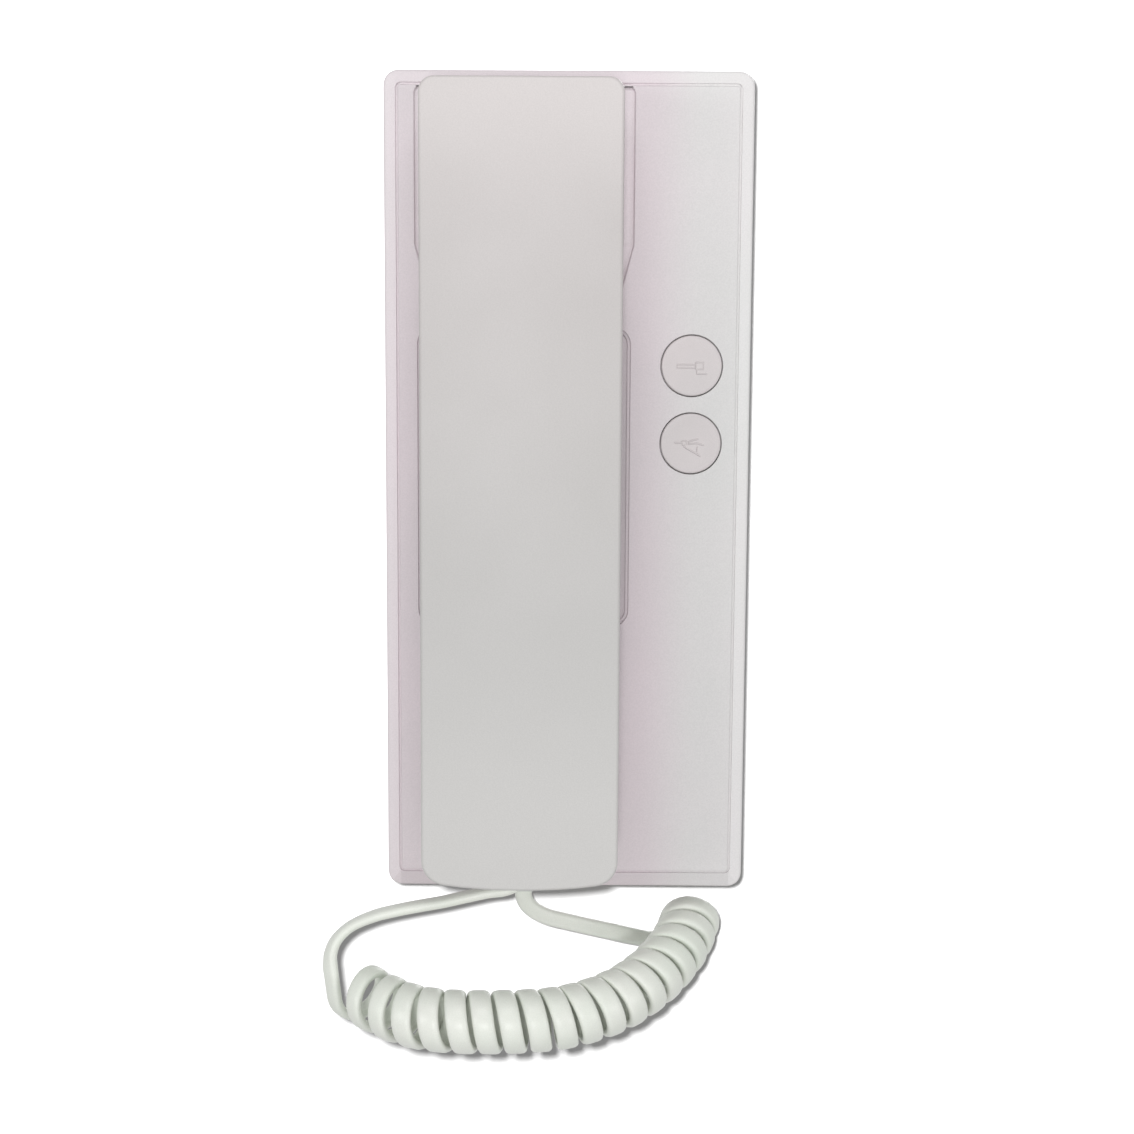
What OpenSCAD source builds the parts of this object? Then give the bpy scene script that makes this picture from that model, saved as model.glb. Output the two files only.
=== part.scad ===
// Slimline wall phone: a flat base with a handset cradle and two round push buttons, a slab handset that
// hangs in the cradle, and a curly cord between them. Millimetres, +Z up. The wall is the plane y = 0 and
// the front faces -Y. The origin is the centre of the four wall screw holes on the rear face. A depth is
// a distance from the wall.

/* [Base] */
// Width of the base
base_w = 95; // [94:0.5:98]
// Height of the base
base_h = 215; // [214:0.5:218]
// Depth from the wall to the front face
base_d = 24; // [24:0.1:24.4]
// Radius of the four outline corners
corner_r = 4; // [3:0.5:6]
// Width of the bevelled band at the sides and the top
band = 3.5; // [3:0.1:4]
// Width of the bevelled band at the bottom
band_bottom = 4.4; // [4:0.1:5]
// How far the band falls back at the outline
band_drop = 1.6; // [1.2:0.1:2]
// Wall thickness of the moulded covers
wall = 2; // [1.8:0.1:2.2]
// Thickness of the wall plate
plate_t = 3; // [2.6:0.1:3]

/* [Cradle] */
// Centre line of the handset and its pockets, from the middle of the base
cradle_x = -11.3; // [-12:0.1:-11]
// Width of the ledge round the ear pocket
ear_ledge_w = 56.4; // [55:0.2:57]
// Depth of that ledge below the front face
ledge_drop = 1; // [0.8:0.1:1.2]
// Width of the ear pocket
ear_pocket_w = 50.4; // [50:0.2:51]
// Depth of the ear and mouth pockets below the front face
pocket_depth = 8; // [7.8:0.1:8.2]
// Width of the stepped edge of the finger recess
recess_w = 53.6; // [52:0.2:54]
// Width of the finger recess behind the grip
recess_deep_w = 50; // [49.4:0.2:51]
// Depth of the finger recess below the front face
recess_depth = 4; // [3:0.5:4]

/* [Handset] */
// Width of the handset
handset_w = 49.8; // [49:0.2:50.4]
// Height of the top edge of the handset above the origin
handset_top = 103.8; // [103:0.1:104.2]
// Height of the lowest point of the handset
handset_low = -98.7; // [-99.4:0.1:-98.4]
// Depth of the handset's front face
handset_front = 57; // [56:0.5:58]
// Depth of the seam between the two handset shells
handset_seam = 46; // [45:0.5:47]
// Depth of the back of the grip
grip_back = 36; // [35:0.5:37]
// Depth of the backs of the two cups, just clear of the pocket floors
cup_back = 17; // [17:0.1:17.4]

/* [Buttons] */
// Diameter of a button
button_d = 15.4; // [15:0.1:15.6]
// Gap round a button
button_gap = 0.4; // [0.3:0.1:0.5]
// Distance of the buttons from the middle of the base
button_x = 32.2; // [32:0.1:33]
// Height of the upper button
button_z = 32.6; // [31:0.1:33]
// Distance between the two buttons
button_pitch = 20.2; // [20:0.1:21]

/* [Wall screws] */
// Distance between the wall screw holes across
screw_x = 60; // [56:1:64]
// Distance between the wall screw holes up and down
screw_z = 150; // [148:1:152]
// Diameter of a wall screw hole
screw_hole_d = 4.5; // [4:0.1:5]

/* [Cord] */
// Width of the flat cord
cord_w = 4.6; // [4:0.1:4.6]
// Thickness of the flat cord
cord_t = 2.6; // [2.4:0.1:2.8]
// Outer diameter of the curls
coil_d = 16.4; // [15.6:0.1:16.4]

/* [Hidden] */

white = [0.86, 0.85, 0.83];
cord_white = [0.88, 0.9, 0.86];
round_fn = 48;
over = 0.1;

half_w = base_w / 2;
half_h = base_h / 2;
front_in = base_d - wall;
cover_near = 0.6;
fit_gap = 0.2;
floor_d = base_d - pocket_depth;
recess_floor_d = base_d - recess_depth;
ledge_half = ear_ledge_w / 2;
ledge_top = 103.6;
ear_half = ear_pocket_w / 2;
ear_top = 102.6;
ear_shoulder = 63.5;
ear_sill = 50;
sill_in = 3.6;
ledge_d = base_d - ledge_drop;
step_d = base_d - 1.4;
recess_top = 41.5;
recess_low = -35.4;
mouth_half = 22;
mouth_top = -48;
mouth_low = -92.6;
hand_half = handset_w / 2;
foot_bow = 2;
tray_in = handset_front - wall;
edge_r = 1.5;
board_near = 5;
board_far = 6.6;
socket_d = 12;
jack_d = 33.5;
term_pitch = 5.08;
speaker_x = -14;
speaker_z = 2;
receiver_z = 74;
mouthpiece_z = -70;
weight_z = -4;
receiver_back = 31.4;
microphone_back = 27.9;
rib_h = 2.5;
wire_d = 1.2;
pivot_d = 11.2;
pivot_z = 58;
lever_x = -2;
lever_w = 8;
boss_xz = [[cradle_x, 27], [cradle_x, -38]];
screw_seat = grip_back + 1.3;
button_places = [button_z, button_z - button_pitch];
collar_near = 19.4;
collar_d = 21.4;
board_screw_xz = [[12, -58], [40, -58], [12, 86], [40, 86]];

// Lower faces of the strain reliefs on the two plugs
base_plug_z = -112;
handset_plug_z = -100.6;
// Route of the handset lead from its plug to the coil: [centre, direction of the flat side]
handset_route = [
    [[-11.3, -33.5, -100.6], [1, 0, 0]], [[-11.3, -33.5, -102.2], [1, 0, 0]],
    [[-12.4, -33.7, -104.3], [0.8, 0.8, 0.1]], [[-15.8, -34.1, -105.4], [0.3, 1, 0.1]],
    [[-20, -34.5, -105.8], [0, 1, 0.1]], [[-26, -35, -107], [0, 1, 0.1]], [[-32, -35.4, -108.3], [0, 1, 0.1]],
    [[-38, -35.8, -109.3], [0, 1, 0.1]], [[-44, -36.3, -110.4], [0, 1, 0.1]], [[-50, -36.9, -111.8], [0, 1, 0.1]],
    [[-56, -37.4, -114.4], [-0.1, 1, 0]], [[-59.8, -38.1, -117.8], [-0.3, 1, 0]],
    [[-61.4, -39, -121.4], [-0.5, 0.9, 0.1]], [[-61.4, -40.2, -124.6], [-0.7, 0.7, 0.1]]];
// Route of the base lead, from the plug to the coil
base_route = [
    [[-11.3, -12, -112], [1, 0, 0]], [[-11.3, -12, -113.6], [1, 0, 0]], [[-10.4, -12, -115.9], [0.9, 0, 0.4]],
    [[-8, -12, -118], [0.7, 0, 0.7]], [[-4.4, -11.9, -119.7], [0.45, 0, 0.9]], [[0.4, -11.6, -121], [0.3, 0, 1]],
    [[6, -11.2, -122.4], [0.2, 0, 1]], [[12, -10.6, -123.9], [0.2, 0.2, 1]], [[18, -9.8, -125.5], [0.2, 0.6, 1]],
    [[24.2, -7.4, -127.2], [0.2, 1, 0.6]]];
// Axis of the coil, from the handset lead to the base lead
coil_axis = [
    [-56.4, -36, -131.8], [-47.9, -43.4, -133.5], [-39.6, -48.7, -134.8], [-30.2, -51.7, -135.1], [-20.4, -52.3, -135.1],
    [-10.6, -51.8, -135], [-1.1, -50, -134.7], [7.6, -46.9, -133.5], [15.5, -42.2, -131.7], [22.3, -35.9, -129.2],
    [27.9, -28.4, -126.3], [32.2, -19.9, -123.1], [34.8, -10.8, -119.9]];
coil_turns = 18.25;
coil_rings = 8;
coil_r = (coil_d - cord_t) / 2;

// ---- Outlines -------------------------------------------------------------------------------------

function unit(v) = v / norm(v);

// The arc that rounds corner b of the path a-b-c
function corner(a, b, c, r, n) =
    let (u = unit(a - b), v = unit(c - b), h = acos(u * v) / 2)
    let (m = b + unit(u + v) * r / sin(h), p = b + u * r / tan(h) - m, q = b + v * r / tan(h) - m)
    let (s = atan2(p[1], p[0]), sweep = (atan2(q[1], q[0]) - s + 540) % 360 - 180)
    [for (i = [0:n]) m + r * [cos(s + sweep * i / n), sin(s + sweep * i / n)]];

// A closed outline with each corner rounded by its own radius, where 0 keeps it sharp
function rounded(pts, radii, n = 5) =
    let (m = len(pts))
    [for (i = [0:m - 1]) each (radii[i] == 0 ? [pts[i]] :
        corner(pts[(i + m - 1) % m], pts[i], pts[(i + 1) % m], radii[i], n))];

function rect(x0, x1, z0, z1, r, n = 5) =
    rounded([[x1, z1], [x0, z1], [x0, z0], [x1, z0]], [r, r, r, r], n);

// Mirrors the right half of an outline, given from the top down, about the line x = cx
function both_sides(cx, right) =
    concat([for (p = right) [cx + p[0], p[1]]],
        [for (i = [len(right) - 1:-1:0]) [cx - right[i][0], right[i][1]]]);

function base_outline(inset) =
    rect(-half_w + inset, half_w - inset, -half_h + inset, half_h - inset, max(corner_r - inset, 1));

// The flat panel inside the bevelled band
function panel_outline(grow) =
    rect(-half_w + band - grow, half_w - band + grow, -half_h + band_bottom - grow, half_h - band + grow, 1.2);

// The ear pocket and the shallow ledge round it, whose slanted shoulders run in to the sill
function shouldered(half, top, foot_half, foot_r, grow) = rounded(both_sides(cradle_x,
    [[half + grow, top + grow], [half + grow, ear_shoulder], [foot_half + grow, ear_sill - grow]]),
    [2, 4, foot_r, foot_r, 4, 2]);
function ear_ledge(grow) = shouldered(ledge_half, ledge_top, ledge_half - sill_in, 4, grow);
function ear_pocket(grow) = shouldered(ear_half, ear_top, ear_half - sill_in + 0.6, 1, grow);

function finger_recess(grow) = rect(cradle_x - recess_w / 2 - grow, cradle_x + recess_w / 2 + grow,
    recess_low - grow, recess_top + grow, 3.5 + grow);
function finger_well(grow) = rect(cradle_x - recess_deep_w / 2 - grow, cradle_x + recess_deep_w / 2 + grow,
    recess_low + 1.2 - grow, recess_top - 1.2 + grow, 3 + grow);

function mouth_pocket(grow) = rect(cradle_x - mouth_half - grow, cradle_x + mouth_half + grow,
    mouth_low - grow, mouth_top + grow, 5 + grow);

// The handset from the front: small radii on top, and a bowed foot with larger ones
function foot(x) = handset_low + foot_bow * pow(x / hand_half, 2);
function handset_outline(inset) = rounded(concat(
    [[cradle_x + hand_half - inset, handset_top - inset], [cradle_x - hand_half + inset, handset_top - inset],
        [cradle_x - hand_half + inset, foot(hand_half) + inset]],
    [for (x = [-15:6:15]) [cradle_x + x, foot(x) + inset]],
    [[cradle_x + hand_half - inset, foot(hand_half) + inset]]),
    concat([3.8 - inset, 3.8 - inset, 6.4 - inset], [for (x = [-15:6:15]) 0], [6.4 - inset]));

// The ear cup from the front: its tapered foot settles between the slanted shoulders of the pocket
function ear_cup(inset) = rounded(both_sides(cradle_x,
    [[24 - inset, 99.5 - inset], [24 - inset, ear_shoulder], [21 - inset, ear_sill + 0.3 + inset],
        [21 - inset, 36]]), [5, 6, 6, 0, 0, 6, 6, 5]);

function mouth_cup(inset) = rect(cradle_x - 20 + inset, cradle_x + 20 - inset, -98 + inset, -38, 5);

// The two cups from the side, as [y, z]
function ear_side(inset) = rounded(
    [[-grip_back - 8, 99.5 - inset], [-cup_back - inset, 95.5 - inset], [-cup_back - inset, ear_sill + 0.3 + inset],
        [-25 - inset, ear_sill + 0.3 + inset], [-grip_back - inset, 38 + inset], [-grip_back - 8, 38 + inset]],
    [0, 3, 2.5, 4, 0, 0]);
function mouth_side(inset) = rounded(
    [[-grip_back - 8, -40 - inset], [-grip_back - inset, -40 - inset], [-25 - inset, -52.5 - inset],
        [-cup_back - inset, -52.5 - inset], [-cup_back - inset, -84 + inset], [-29 - inset, -95.5 + inset],
        [-grip_back - 8, -96.5 + inset]],
    [0, 0, 4, 2.5, 3, 3, 0]);

// ---- Placing --------------------------------------------------------------------------------------

// An outline in the wall plane, thick from depth near to depth far
module layer(near, far) {
    translate([0, -near, 0]) rotate([90, 0, 0]) linear_extrude(far - near) children();
}

// A side profile [y, z], wide from x0 to x1
module profile(x0, x1) {
    translate([x0, 0, 0]) rotate([90, 0, 90]) linear_extrude(x1 - x0) children();
}

// A block between two places across, two depths and two heights
module block(x0, x1, near, far, z0, z1) {
    translate([x0, -far, z0]) cube([x1 - x0, far - near, z1 - z0]);
}

// Round bars along the depth, across and up
module peg(x, z, near, far, d) {
    translate([x, -near, z]) rotate([90, 0, 0]) cylinder(d = d, h = far - near, $fn = round_fn);
}
module bar(x0, x1, depth, z, d) {
    translate([x0, -depth, z]) rotate([0, 90, 0]) cylinder(d = d, h = x1 - x0, $fn = round_fn);
}
module post(x, depth, z0, z1, d) {
    translate([x, -depth, z0]) cylinder(d = d, h = z1 - z0, $fn = round_fn);
}

// A pan head screw along the depth: the head sits at depth seat, the shank runs towards the wall
module screw(x, z, seat, head_d, head_t, shank_d, shank_l) {
    difference() {
        peg(x, z, seat, seat + head_t, head_d);
        block(x - head_d / 2, x + head_d / 2, seat + head_t - 0.8, seat + head_t + over, z - 0.4, z + 0.4);
        block(x - 0.4, x + 0.4, seat + head_t - 0.8, seat + head_t + over, z - head_d / 2, z + head_d / 2);
    }
    peg(x, z, seat - shank_l, seat, shank_d);
}

// ---- Base -----------------------------------------------------------------------------------------

module wall_plate() color("gainsboro") {
    difference() {
        union() {
            layer(0, plate_t) polygon(base_outline(wall + fit_gap));
            for (p = board_screw_xz) peg(p[0], p[1], plate_t, board_near, 6);
            for (x = [lever_x - lever_w / 2 - 2.4, lever_x + lever_w / 2 + 0.4])
                block(x, x + 2, plate_t, pivot_d + 2.3, pivot_z - 3.5, pivot_z + 3.5);
            for (x = [-25, 25]) block(x - 5, x + 5, plate_t, 9.4, half_h - 4, half_h - 2.6);
            for (x = [-25, 25]) block(x - 5, x + 5, 7.8, 9.4, half_h - 2.6, half_h - 2.3);
            block(25, 35, plate_t, 15, -half_h + 6.6, -half_h + 15);
            block(cradle_x - 6, cradle_x + 6, plate_t, socket_d - 5.4, -half_h + 2.6, -95);
        }
        for (x = [-screw_x / 2, screw_x / 2], z = [-screw_z / 2, screw_z / 2])
            peg(x, z, -over, plate_t + over, screw_hole_d);
        for (p = board_screw_xz) peg(p[0], p[1], 1, board_near + over, 2.1);
        bar(lever_x - 10, lever_x + 10, pivot_d, pivot_z, 2.05);
        post(30, 9, -half_h + 6, -half_h + 14, 2.4);
        layer(-over, plate_t + over) polygon(rect(-22, 4, -46, -24, 2));
    }
}

module front_cover() color(white) {
    difference() {
        layer(cover_near, base_d) polygon(base_outline(0));
        bevels();
        difference() {
            layer(0, front_in) polygon(base_outline(wall));
            tubs();
            cover_ribs();
        }
        groove();
        layer(ledge_d, base_d + over) polygon(ear_ledge(0));
        layer(floor_d, base_d + over) polygon(ear_pocket(0));
        layer(floor_d, base_d + over) polygon(mouth_pocket(0));
        layer(recess_floor_d, base_d + over) polygon(finger_well(0));
        layer(step_d, base_d + over) polygon(finger_recess(0));
        layer(base_d - 0.8, base_d + over) polygon(finger_recess(0.8));
        for (z = button_places) {
            peg(button_x, z, front_in - over, base_d + over, button_d + 2 * button_gap);
            peg(button_x, z, collar_near - over, front_in, collar_d - 2);
        }
        for (i = [-3:3])
            block(speaker_x + i * 4 - 0.8, speaker_x + i * 4 + 0.8, 17, 21, speaker_z - 9, speaker_z + 9);
        block(lever_x - 5, lever_x + 5, 13, 17, 63, 87);
        block(cradle_x - 5, cradle_x + 5, socket_d - 4, socket_d + 4, -half_h - over, -half_h + 3);
        post(30, 9, -half_h - over, -half_h + 2.6, 6.2);
        post(30, 9, -half_h, -half_h + 7, 3.2);
    }
}

// The four planes that slope the band back from the panel, mitred at the corners
module bevels() {
    side_tilt = atan(band_drop / band);
    low_tilt = atan(band_drop / band_bottom);
    for (s = [-1, 1])
        translate([s * (half_w - band), -base_d, 0]) rotate([0, 0, s * side_tilt])
            translate([s > 0 ? 0 : -20, -5, -150]) cube([20, 5, 300]);
    translate([0, -base_d, half_h - band]) rotate([-side_tilt, 0, 0])
        translate([-100, -5, 0]) cube([200, 5, 20]);
    translate([0, -base_d, -half_h + band_bottom]) rotate([low_tilt, 0, 0])
        translate([-100, -5, -20]) cube([200, 5, 20]);
}

// The seam line between the band and the panel
module groove() {
    layer(base_d - 0.7, base_d + over) difference() {
        polygon(panel_outline(0.35));
        polygon(panel_outline(-0.35));
    }
}

// The walls of the pockets inside the cover
module tubs() {
    layer(ledge_d - wall, base_d) polygon(ear_ledge(wall));
    layer(floor_d - wall, base_d) polygon(ear_pocket(wall));
    layer(floor_d - wall, base_d) polygon(mouth_pocket(wall));
    layer(step_d - wall, base_d) polygon(finger_recess(wall));
    layer(recess_floor_d - wall, base_d) polygon(finger_well(wall));
}

// What the cover carries inside: catches for the plate, the screw boss, speaker posts and stiffening ribs
module cover_ribs() {
    for (x = [-25, 25]) block(x - 6, x + 6, 5.6, 7.4, half_h - 2.5, half_h);
    block(25, 35, 3.4, 15, -half_h, -half_h + 6.4);
    for (x = [-1, 1]) peg(speaker_x + x * 21.5, speaker_z, 11.4, 19, 2.4);
    for (z = [-44, 62, 80]) block(-half_w, cradle_x - 30, 16, base_d, z - 0.6, z + 0.6);
    for (z = [-20, -42, -70, 70, 92]) block(20.5, half_w, 18, base_d, z - 0.6, z + 0.6);
    for (z = button_places) peg(button_x, z, collar_near, base_d, collar_d);
}

module circuit_board() color([0.12, 0.36, 0.2]) {
    difference() {
        layer(board_near, board_far) polygon(
            [[44, -62], [44, 92], [-10, 92], [-10, 66], [8, 66], [8, -62]]);
        for (p = board_screw_xz) peg(p[0], p[1], board_near - over, board_far + over, 2.8);
        peg(screw_x / 2, screw_z / 2, board_near - over, board_far + over, 9);
    }
}

module board_screws() color("silver") {
    for (p = board_screw_xz) screw(p[0], p[1], board_far, 5, 1.6, 2, 5);
}

module terminal_block() color([0.2, 0.5, 0.3]) {
    difference() {
        union() {
            block(13.6, 39, board_far, 14.6, -54, -44);
            block(13.6, 39, board_far, 16.6, -51.5, -44);
        }
        for (i = [0:4]) {
            peg(13.6 + term_pitch * (i + 0.5), -48, 10, 17, 3.8);
            block(13.6 + term_pitch * (i + 0.5) - 1.5, 13.6 + term_pitch * (i + 0.5) + 1.5, 8, 11, -55, -50);
        }
    }
}

module terminal_screws() color("silver") {
    for (i = [0:4]) difference() {
        peg(13.6 + term_pitch * (i + 0.5), -48, 10, 15.6, 3.5);
        block(13.6 + term_pitch * (i + 0.5) - 2, 13.6 + term_pitch * (i + 0.5) + 2, 15, 16, -48.4, -47.6);
    }
}

// A flat loudspeaker, turned: basket, magnet pot and shallow cone in one profile
module call_speaker() color([0.25, 0.25, 0.27]) {
    translate([speaker_x, -18, speaker_z]) rotate([-90, 0, 0]) rotate_extrude($fn = round_fn)
        polygon([[0, 3], [5, 3], [14, 0.6], [16, 0.6], [16, 0], [18, 0], [18, 1.6], [16.4, 1.6], [11, 5],
            [11, 9], [0, 9]]);
}

// Clamps the rim of the speaker on the cover's two posts
module speaker_ring() color("dimgray") {
    difference() {
        union() {
            peg(speaker_x, speaker_z, 14.8, 16.4, 37);
            block(speaker_x - 24, speaker_x + 24, 14.8, 16.4, speaker_z - 3, speaker_z + 3);
        }
        peg(speaker_x, speaker_z, 14, 17, 33.2);
        for (x = [-1, 1]) peg(speaker_x + x * 21.5, speaker_z, 14, 17, 2.5);
    }
}

// Silicone mat on the board with a dome under each button
module key_mat() color([0.75, 0.76, 0.78]) {
    difference() {
        union() {
            layer(board_far, board_far + 1) polygon(rect(button_x - 9, button_x + 9, 3, 42, 2));
            for (z = button_places) {
                translate([button_x, -board_far - 1, z]) rotate([90, 0, 0])
                    cylinder(d1 = 12, d2 = 7, h = 3.5, $fn = round_fn);
                peg(button_x, z, board_far + 4.4, 13, 6);
            }
        }
        for (z = button_places) peg(button_x, z, board_far - over, board_far + 2.5, 8);
    }
}

module capacitors() color([0.15, 0.2, 0.4]) {
    for (p = [[24, -26, 8], [34, -30, 8], [24, -37, 6.3], [36, -16, 5]])
        peg(p[0], p[1], board_far, p[2] > 6 ? 17.6 : 14, p[2]);
}

module chips() color([0.1, 0.1, 0.1]) {
    for (p = [[14, 22, 10, 4], [14, -4, 10, 4], [30, 58, 5, 4]])
        block(p[0] - 2, p[0] + p[3] - 2, board_far + 0.2, board_far + 1.8, p[1], p[1] + p[2]);
    for (z = [50, 54, 70, 74]) bar(36, 40, board_far + 1.2, z, 2);
}

module volume_trimmer() color([0.2, 0.35, 0.75]) {
    difference() {
        union() {
            block(20, 27, board_far, 10.6, -12, -5);
            peg(23.5, -8.5, 10.6, 11.4, 4.4);
        }
        block(22, 25, 11, 12, -8.8, -8.2);
    }
}

// ---- Hook lever -----------------------------------------------------------------------------------

module hook_switch() color([0.12, 0.12, 0.13]) {
    block(-5, 3, board_far, 9.7, 69, 82);
    peg(-1, 79, 9.7, 10.2, 1.8);
}

// Turns on the pin: its nose stands through the floor of the ear pocket, and the ear cup holds it in
module hook_lever() color(white) {
    x0 = lever_x - lever_w / 2;
    difference() {
        union() {
            bar(x0, x0 + lever_w, pivot_d, pivot_z, 4.6);
            block(x0, x0 + lever_w, pivot_d - 0.8, pivot_d + 1.2, pivot_z, 84);
            block(x0 + 1, x0 + lever_w - 1, pivot_d, cup_back - 2.2, 78, 84);
            bar(x0 + 1, x0 + lever_w - 1, cup_back - 3.2, 81, 6);
        }
        bar(x0 - over, x0 + lever_w + over, pivot_d, pivot_z, 2.12);
    }
}

module hook_pin() color("silver") {
    bar(lever_x - lever_w / 2 - 2.4, lever_x + lever_w / 2 + 2.4, pivot_d, pivot_z, 2);
}

// Bent leaf of spring bronze behind the lever's arm
module hook_spring() color([0.72, 0.53, 0.28]) {
    profile(-5.4, -2.6) polygon([[-plate_t, 43], [-plate_t, 50.2], [-9.8, 68.4], [-10.2, 68.2],
        [-plate_t - 0.5, 50], [-plate_t - 0.4, 43]]);
}

// ---- Buttons --------------------------------------------------------------------------------------

// A capped plunger: dished face, retaining flange behind the cover and a stem that reaches the dome
module push_button(z) color(white) {
    difference() {
        union() {
            peg(button_x, z, 20.4, base_d + 0.1, button_d);
            peg(button_x, z, 20.4, 21.7, 18.6);
            peg(button_x, z, 14.4, 20.5, 5);
            for (a = [0, 90]) translate([button_x, -20.5, z]) rotate([90, a, 0])
                translate([-6, -0.5, -2]) cube([12, 1, 3]);
        }
        difference() {
            peg(button_x, z, 20, base_d - 1.6, button_d - 3);
            peg(button_x, z, 19, base_d, 5);
            for (a = [0, 90]) translate([button_x, -20.5, z]) rotate([90, a, 0])
                translate([-8, -0.5, -2]) cube([16, 1, 8]);
        }
    }
}
module door_button() {
    push_button(button_z);
}
module light_button() {
    push_button(button_z - button_pitch);
}

// ---- Sockets and cover screw ----------------------------------------------------------------------

// A four-way modular socket with its mouth down: its floor is at height z0
module modular_socket(depth, z0, z1) {
    difference() {
        block(cradle_x - 6, cradle_x + 6, depth - 5.4, depth + 4.9, z0, z1);
        block(cradle_x - 4, cradle_x + 4, depth - 3.5, depth + 3.5, z0 - over, z1 - 1.5);
        block(cradle_x - 1.7, cradle_x + 1.7, depth - 4.6, depth, z0 - over, z1 - 1.5);
    }
}

module base_socket() color([0.2, 0.2, 0.21]) {
    modular_socket(socket_d, -half_h + 2.2, -95);
}

module cover_screw() color("silver") {
    difference() {
        post(30, 9, -half_h + 0.8, -half_h + 2.6, 5.8);
        block(27, 33, 8.6, 9.4, -half_h + 0.7, -half_h + 1.4);
    }
    post(30, 9, -half_h + 2.6, -half_h + 12, 2.3);
}

// ---- Handset --------------------------------------------------------------------------------------

module handset_front_shell() color(white) {
    difference() {
        union() {
            difference() {
                hull() {
                    layer(handset_seam, handset_front - edge_r) polygon(handset_outline(0));
                    for (a = [30, 60, 90])
                        layer(handset_seam, handset_front - edge_r + edge_r * sin(a))
                            polygon(handset_outline(edge_r * (1 - cos(a))));
                }
                layer(handset_seam - over, tray_in) polygon(handset_outline(wall));
            }
            for (p = boss_xz) peg(p[0], p[1], grip_back + wall + 0.1, tray_in + 0.5, 7);
            for (z = [88, 50, 12, -20, -56]) rib(z);
        }
        for (p = boss_xz) peg(p[0], p[1], grip_back, tray_in - 1, 2.4);
    }
}

// A low stiffener across the front shell
module rib(z) {
    block(cradle_x - hand_half + 1, cradle_x + hand_half - 1, tray_in - rib_h, tray_in + 0.5, z - 0.6, z + 0.6);
}

module handset_back_shell() color(white) {
    difference() {
        union() {
            layer(grip_back, handset_seam) polygon(handset_outline(0));
            intersection() {
                layer(cup_back - 1, handset_seam - 1) polygon(ear_cup(0));
                profile(-60, 40) polygon(ear_side(0));
            }
            intersection() {
                layer(cup_back - 1, handset_seam - 1) polygon(mouth_cup(0));
                profile(-60, 40) polygon(mouth_side(0));
            }
        }
        layer(grip_back + wall, handset_seam + over) polygon(handset_outline(wall));
        difference() {
            intersection() {
                layer(cup_back, handset_seam) polygon(ear_cup(wall));
                profile(-60, 40) polygon(ear_side(wall));
            }
            difference() {
                peg(cradle_x, receiver_z, cup_back, 24, 38.4);
                peg(cradle_x, receiver_z, cup_back - 1, 25, 35);
            }
        }
        difference() {
            intersection() {
                layer(cup_back, handset_seam) polygon(mouth_cup(wall));
                profile(-60, 40) polygon(mouth_side(wall));
            }
            difference() {
                peg(cradle_x, mouthpiece_z, cup_back, 24, 17.6);
                peg(cradle_x, mouthpiece_z, cup_back - 1, 25, 14.4);
            }
        }
        peg(cradle_x, receiver_z, cup_back - over, cup_back + over * 2, 30);
        for (i = [0:5]) peg(cradle_x + 7 * cos(i * 60), receiver_z + 7 * sin(i * 60), cup_back - 1, cup_back + 3, 2.4);
        peg(cradle_x, receiver_z, cup_back - 1, cup_back + 3, 2.4);
        for (i = [-1:1]) block(cradle_x - 5, cradle_x + 5, cup_back - 1, cup_back + 3,
            mouthpiece_z + i * 4 - 0.7, mouthpiece_z + i * 4 + 0.7);
        for (p = boss_xz) {
            peg(p[0], p[1], grip_back - 1, grip_back + wall + 1, 3.2);
            peg(p[0], p[1], grip_back - 1, screw_seat, 6.4);
        }
        block(cradle_x - 4.4, cradle_x + 4.4, jack_d - 3.8, jack_d + 3.8, -100, -91);
    }
}

module receiver() color([0.3, 0.3, 0.32]) {
    translate([cradle_x, 11 - receiver_back, receiver_z]) rotate([90, 0, 0]) rotate_extrude($fn = round_fn)
        polygon([[0, 0.8], [8, 0.8], [12, 0], [17, 0], [17, 5], [13, 6.5], [11, 11], [0, 11]]);
}

module receiver_gasket() color([0.25, 0.25, 0.25]) {
    difference() {
        peg(cradle_x, receiver_z, cup_back + wall, 20.4, 34);
        peg(cradle_x, receiver_z, cup_back, 21, 25);
    }
}

module microphone() color("silver") {
    peg(cradle_x, mouthpiece_z, 21.2, microphone_back, 9.7);
}

module microphone_boot() color([0.15, 0.15, 0.15]) {
    difference() {
        peg(cradle_x, mouthpiece_z, cup_back + wall, 29, 14);
        peg(cradle_x, mouthpiece_z, 21.2, 30, 9.8);
        peg(cradle_x, mouthpiece_z, cup_back, 22, 5);
    }
}

module balance_weight() color("gray") {
    layer(grip_back + wall, 49) polygon(rect(cradle_x - 17, cradle_x + 17, weight_z - 22, weight_z + 22, 2));
}

module handset_socket() color([0.2, 0.2, 0.21]) {
    modular_socket(jack_d, -90.4, -81);
}

module handset_screws() color("silver") {
    for (p = boss_xz) {
        difference() {
            peg(p[0], p[1], screw_seat - 1.2, screw_seat, 5.8);
            block(p[0] - 3, p[0] + 3, screw_seat - 1.3, screw_seat - 0.5, p[1] - 0.4, p[1] + 0.4);
            block(p[0] - 0.4, p[0] + 0.4, screw_seat - 1.3, screw_seat - 0.5, p[1] - 3, p[1] + 3);
        }
        peg(p[0], p[1], screw_seat, screw_seat + 12, 2.3);
    }
}

// Two pairs from the socket, along the inside of the front shell and back to the capsules
module handset_wires() color([0.7, 0.15, 0.12]) {
    for (s = [-1, 1]) {
        wire(cradle_x + s * 5, -86, receiver_z - 8, receiver_back);
        wire(cradle_x + s * 2.5, -83, mouthpiece_z, microphone_back);
    }
}

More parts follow.
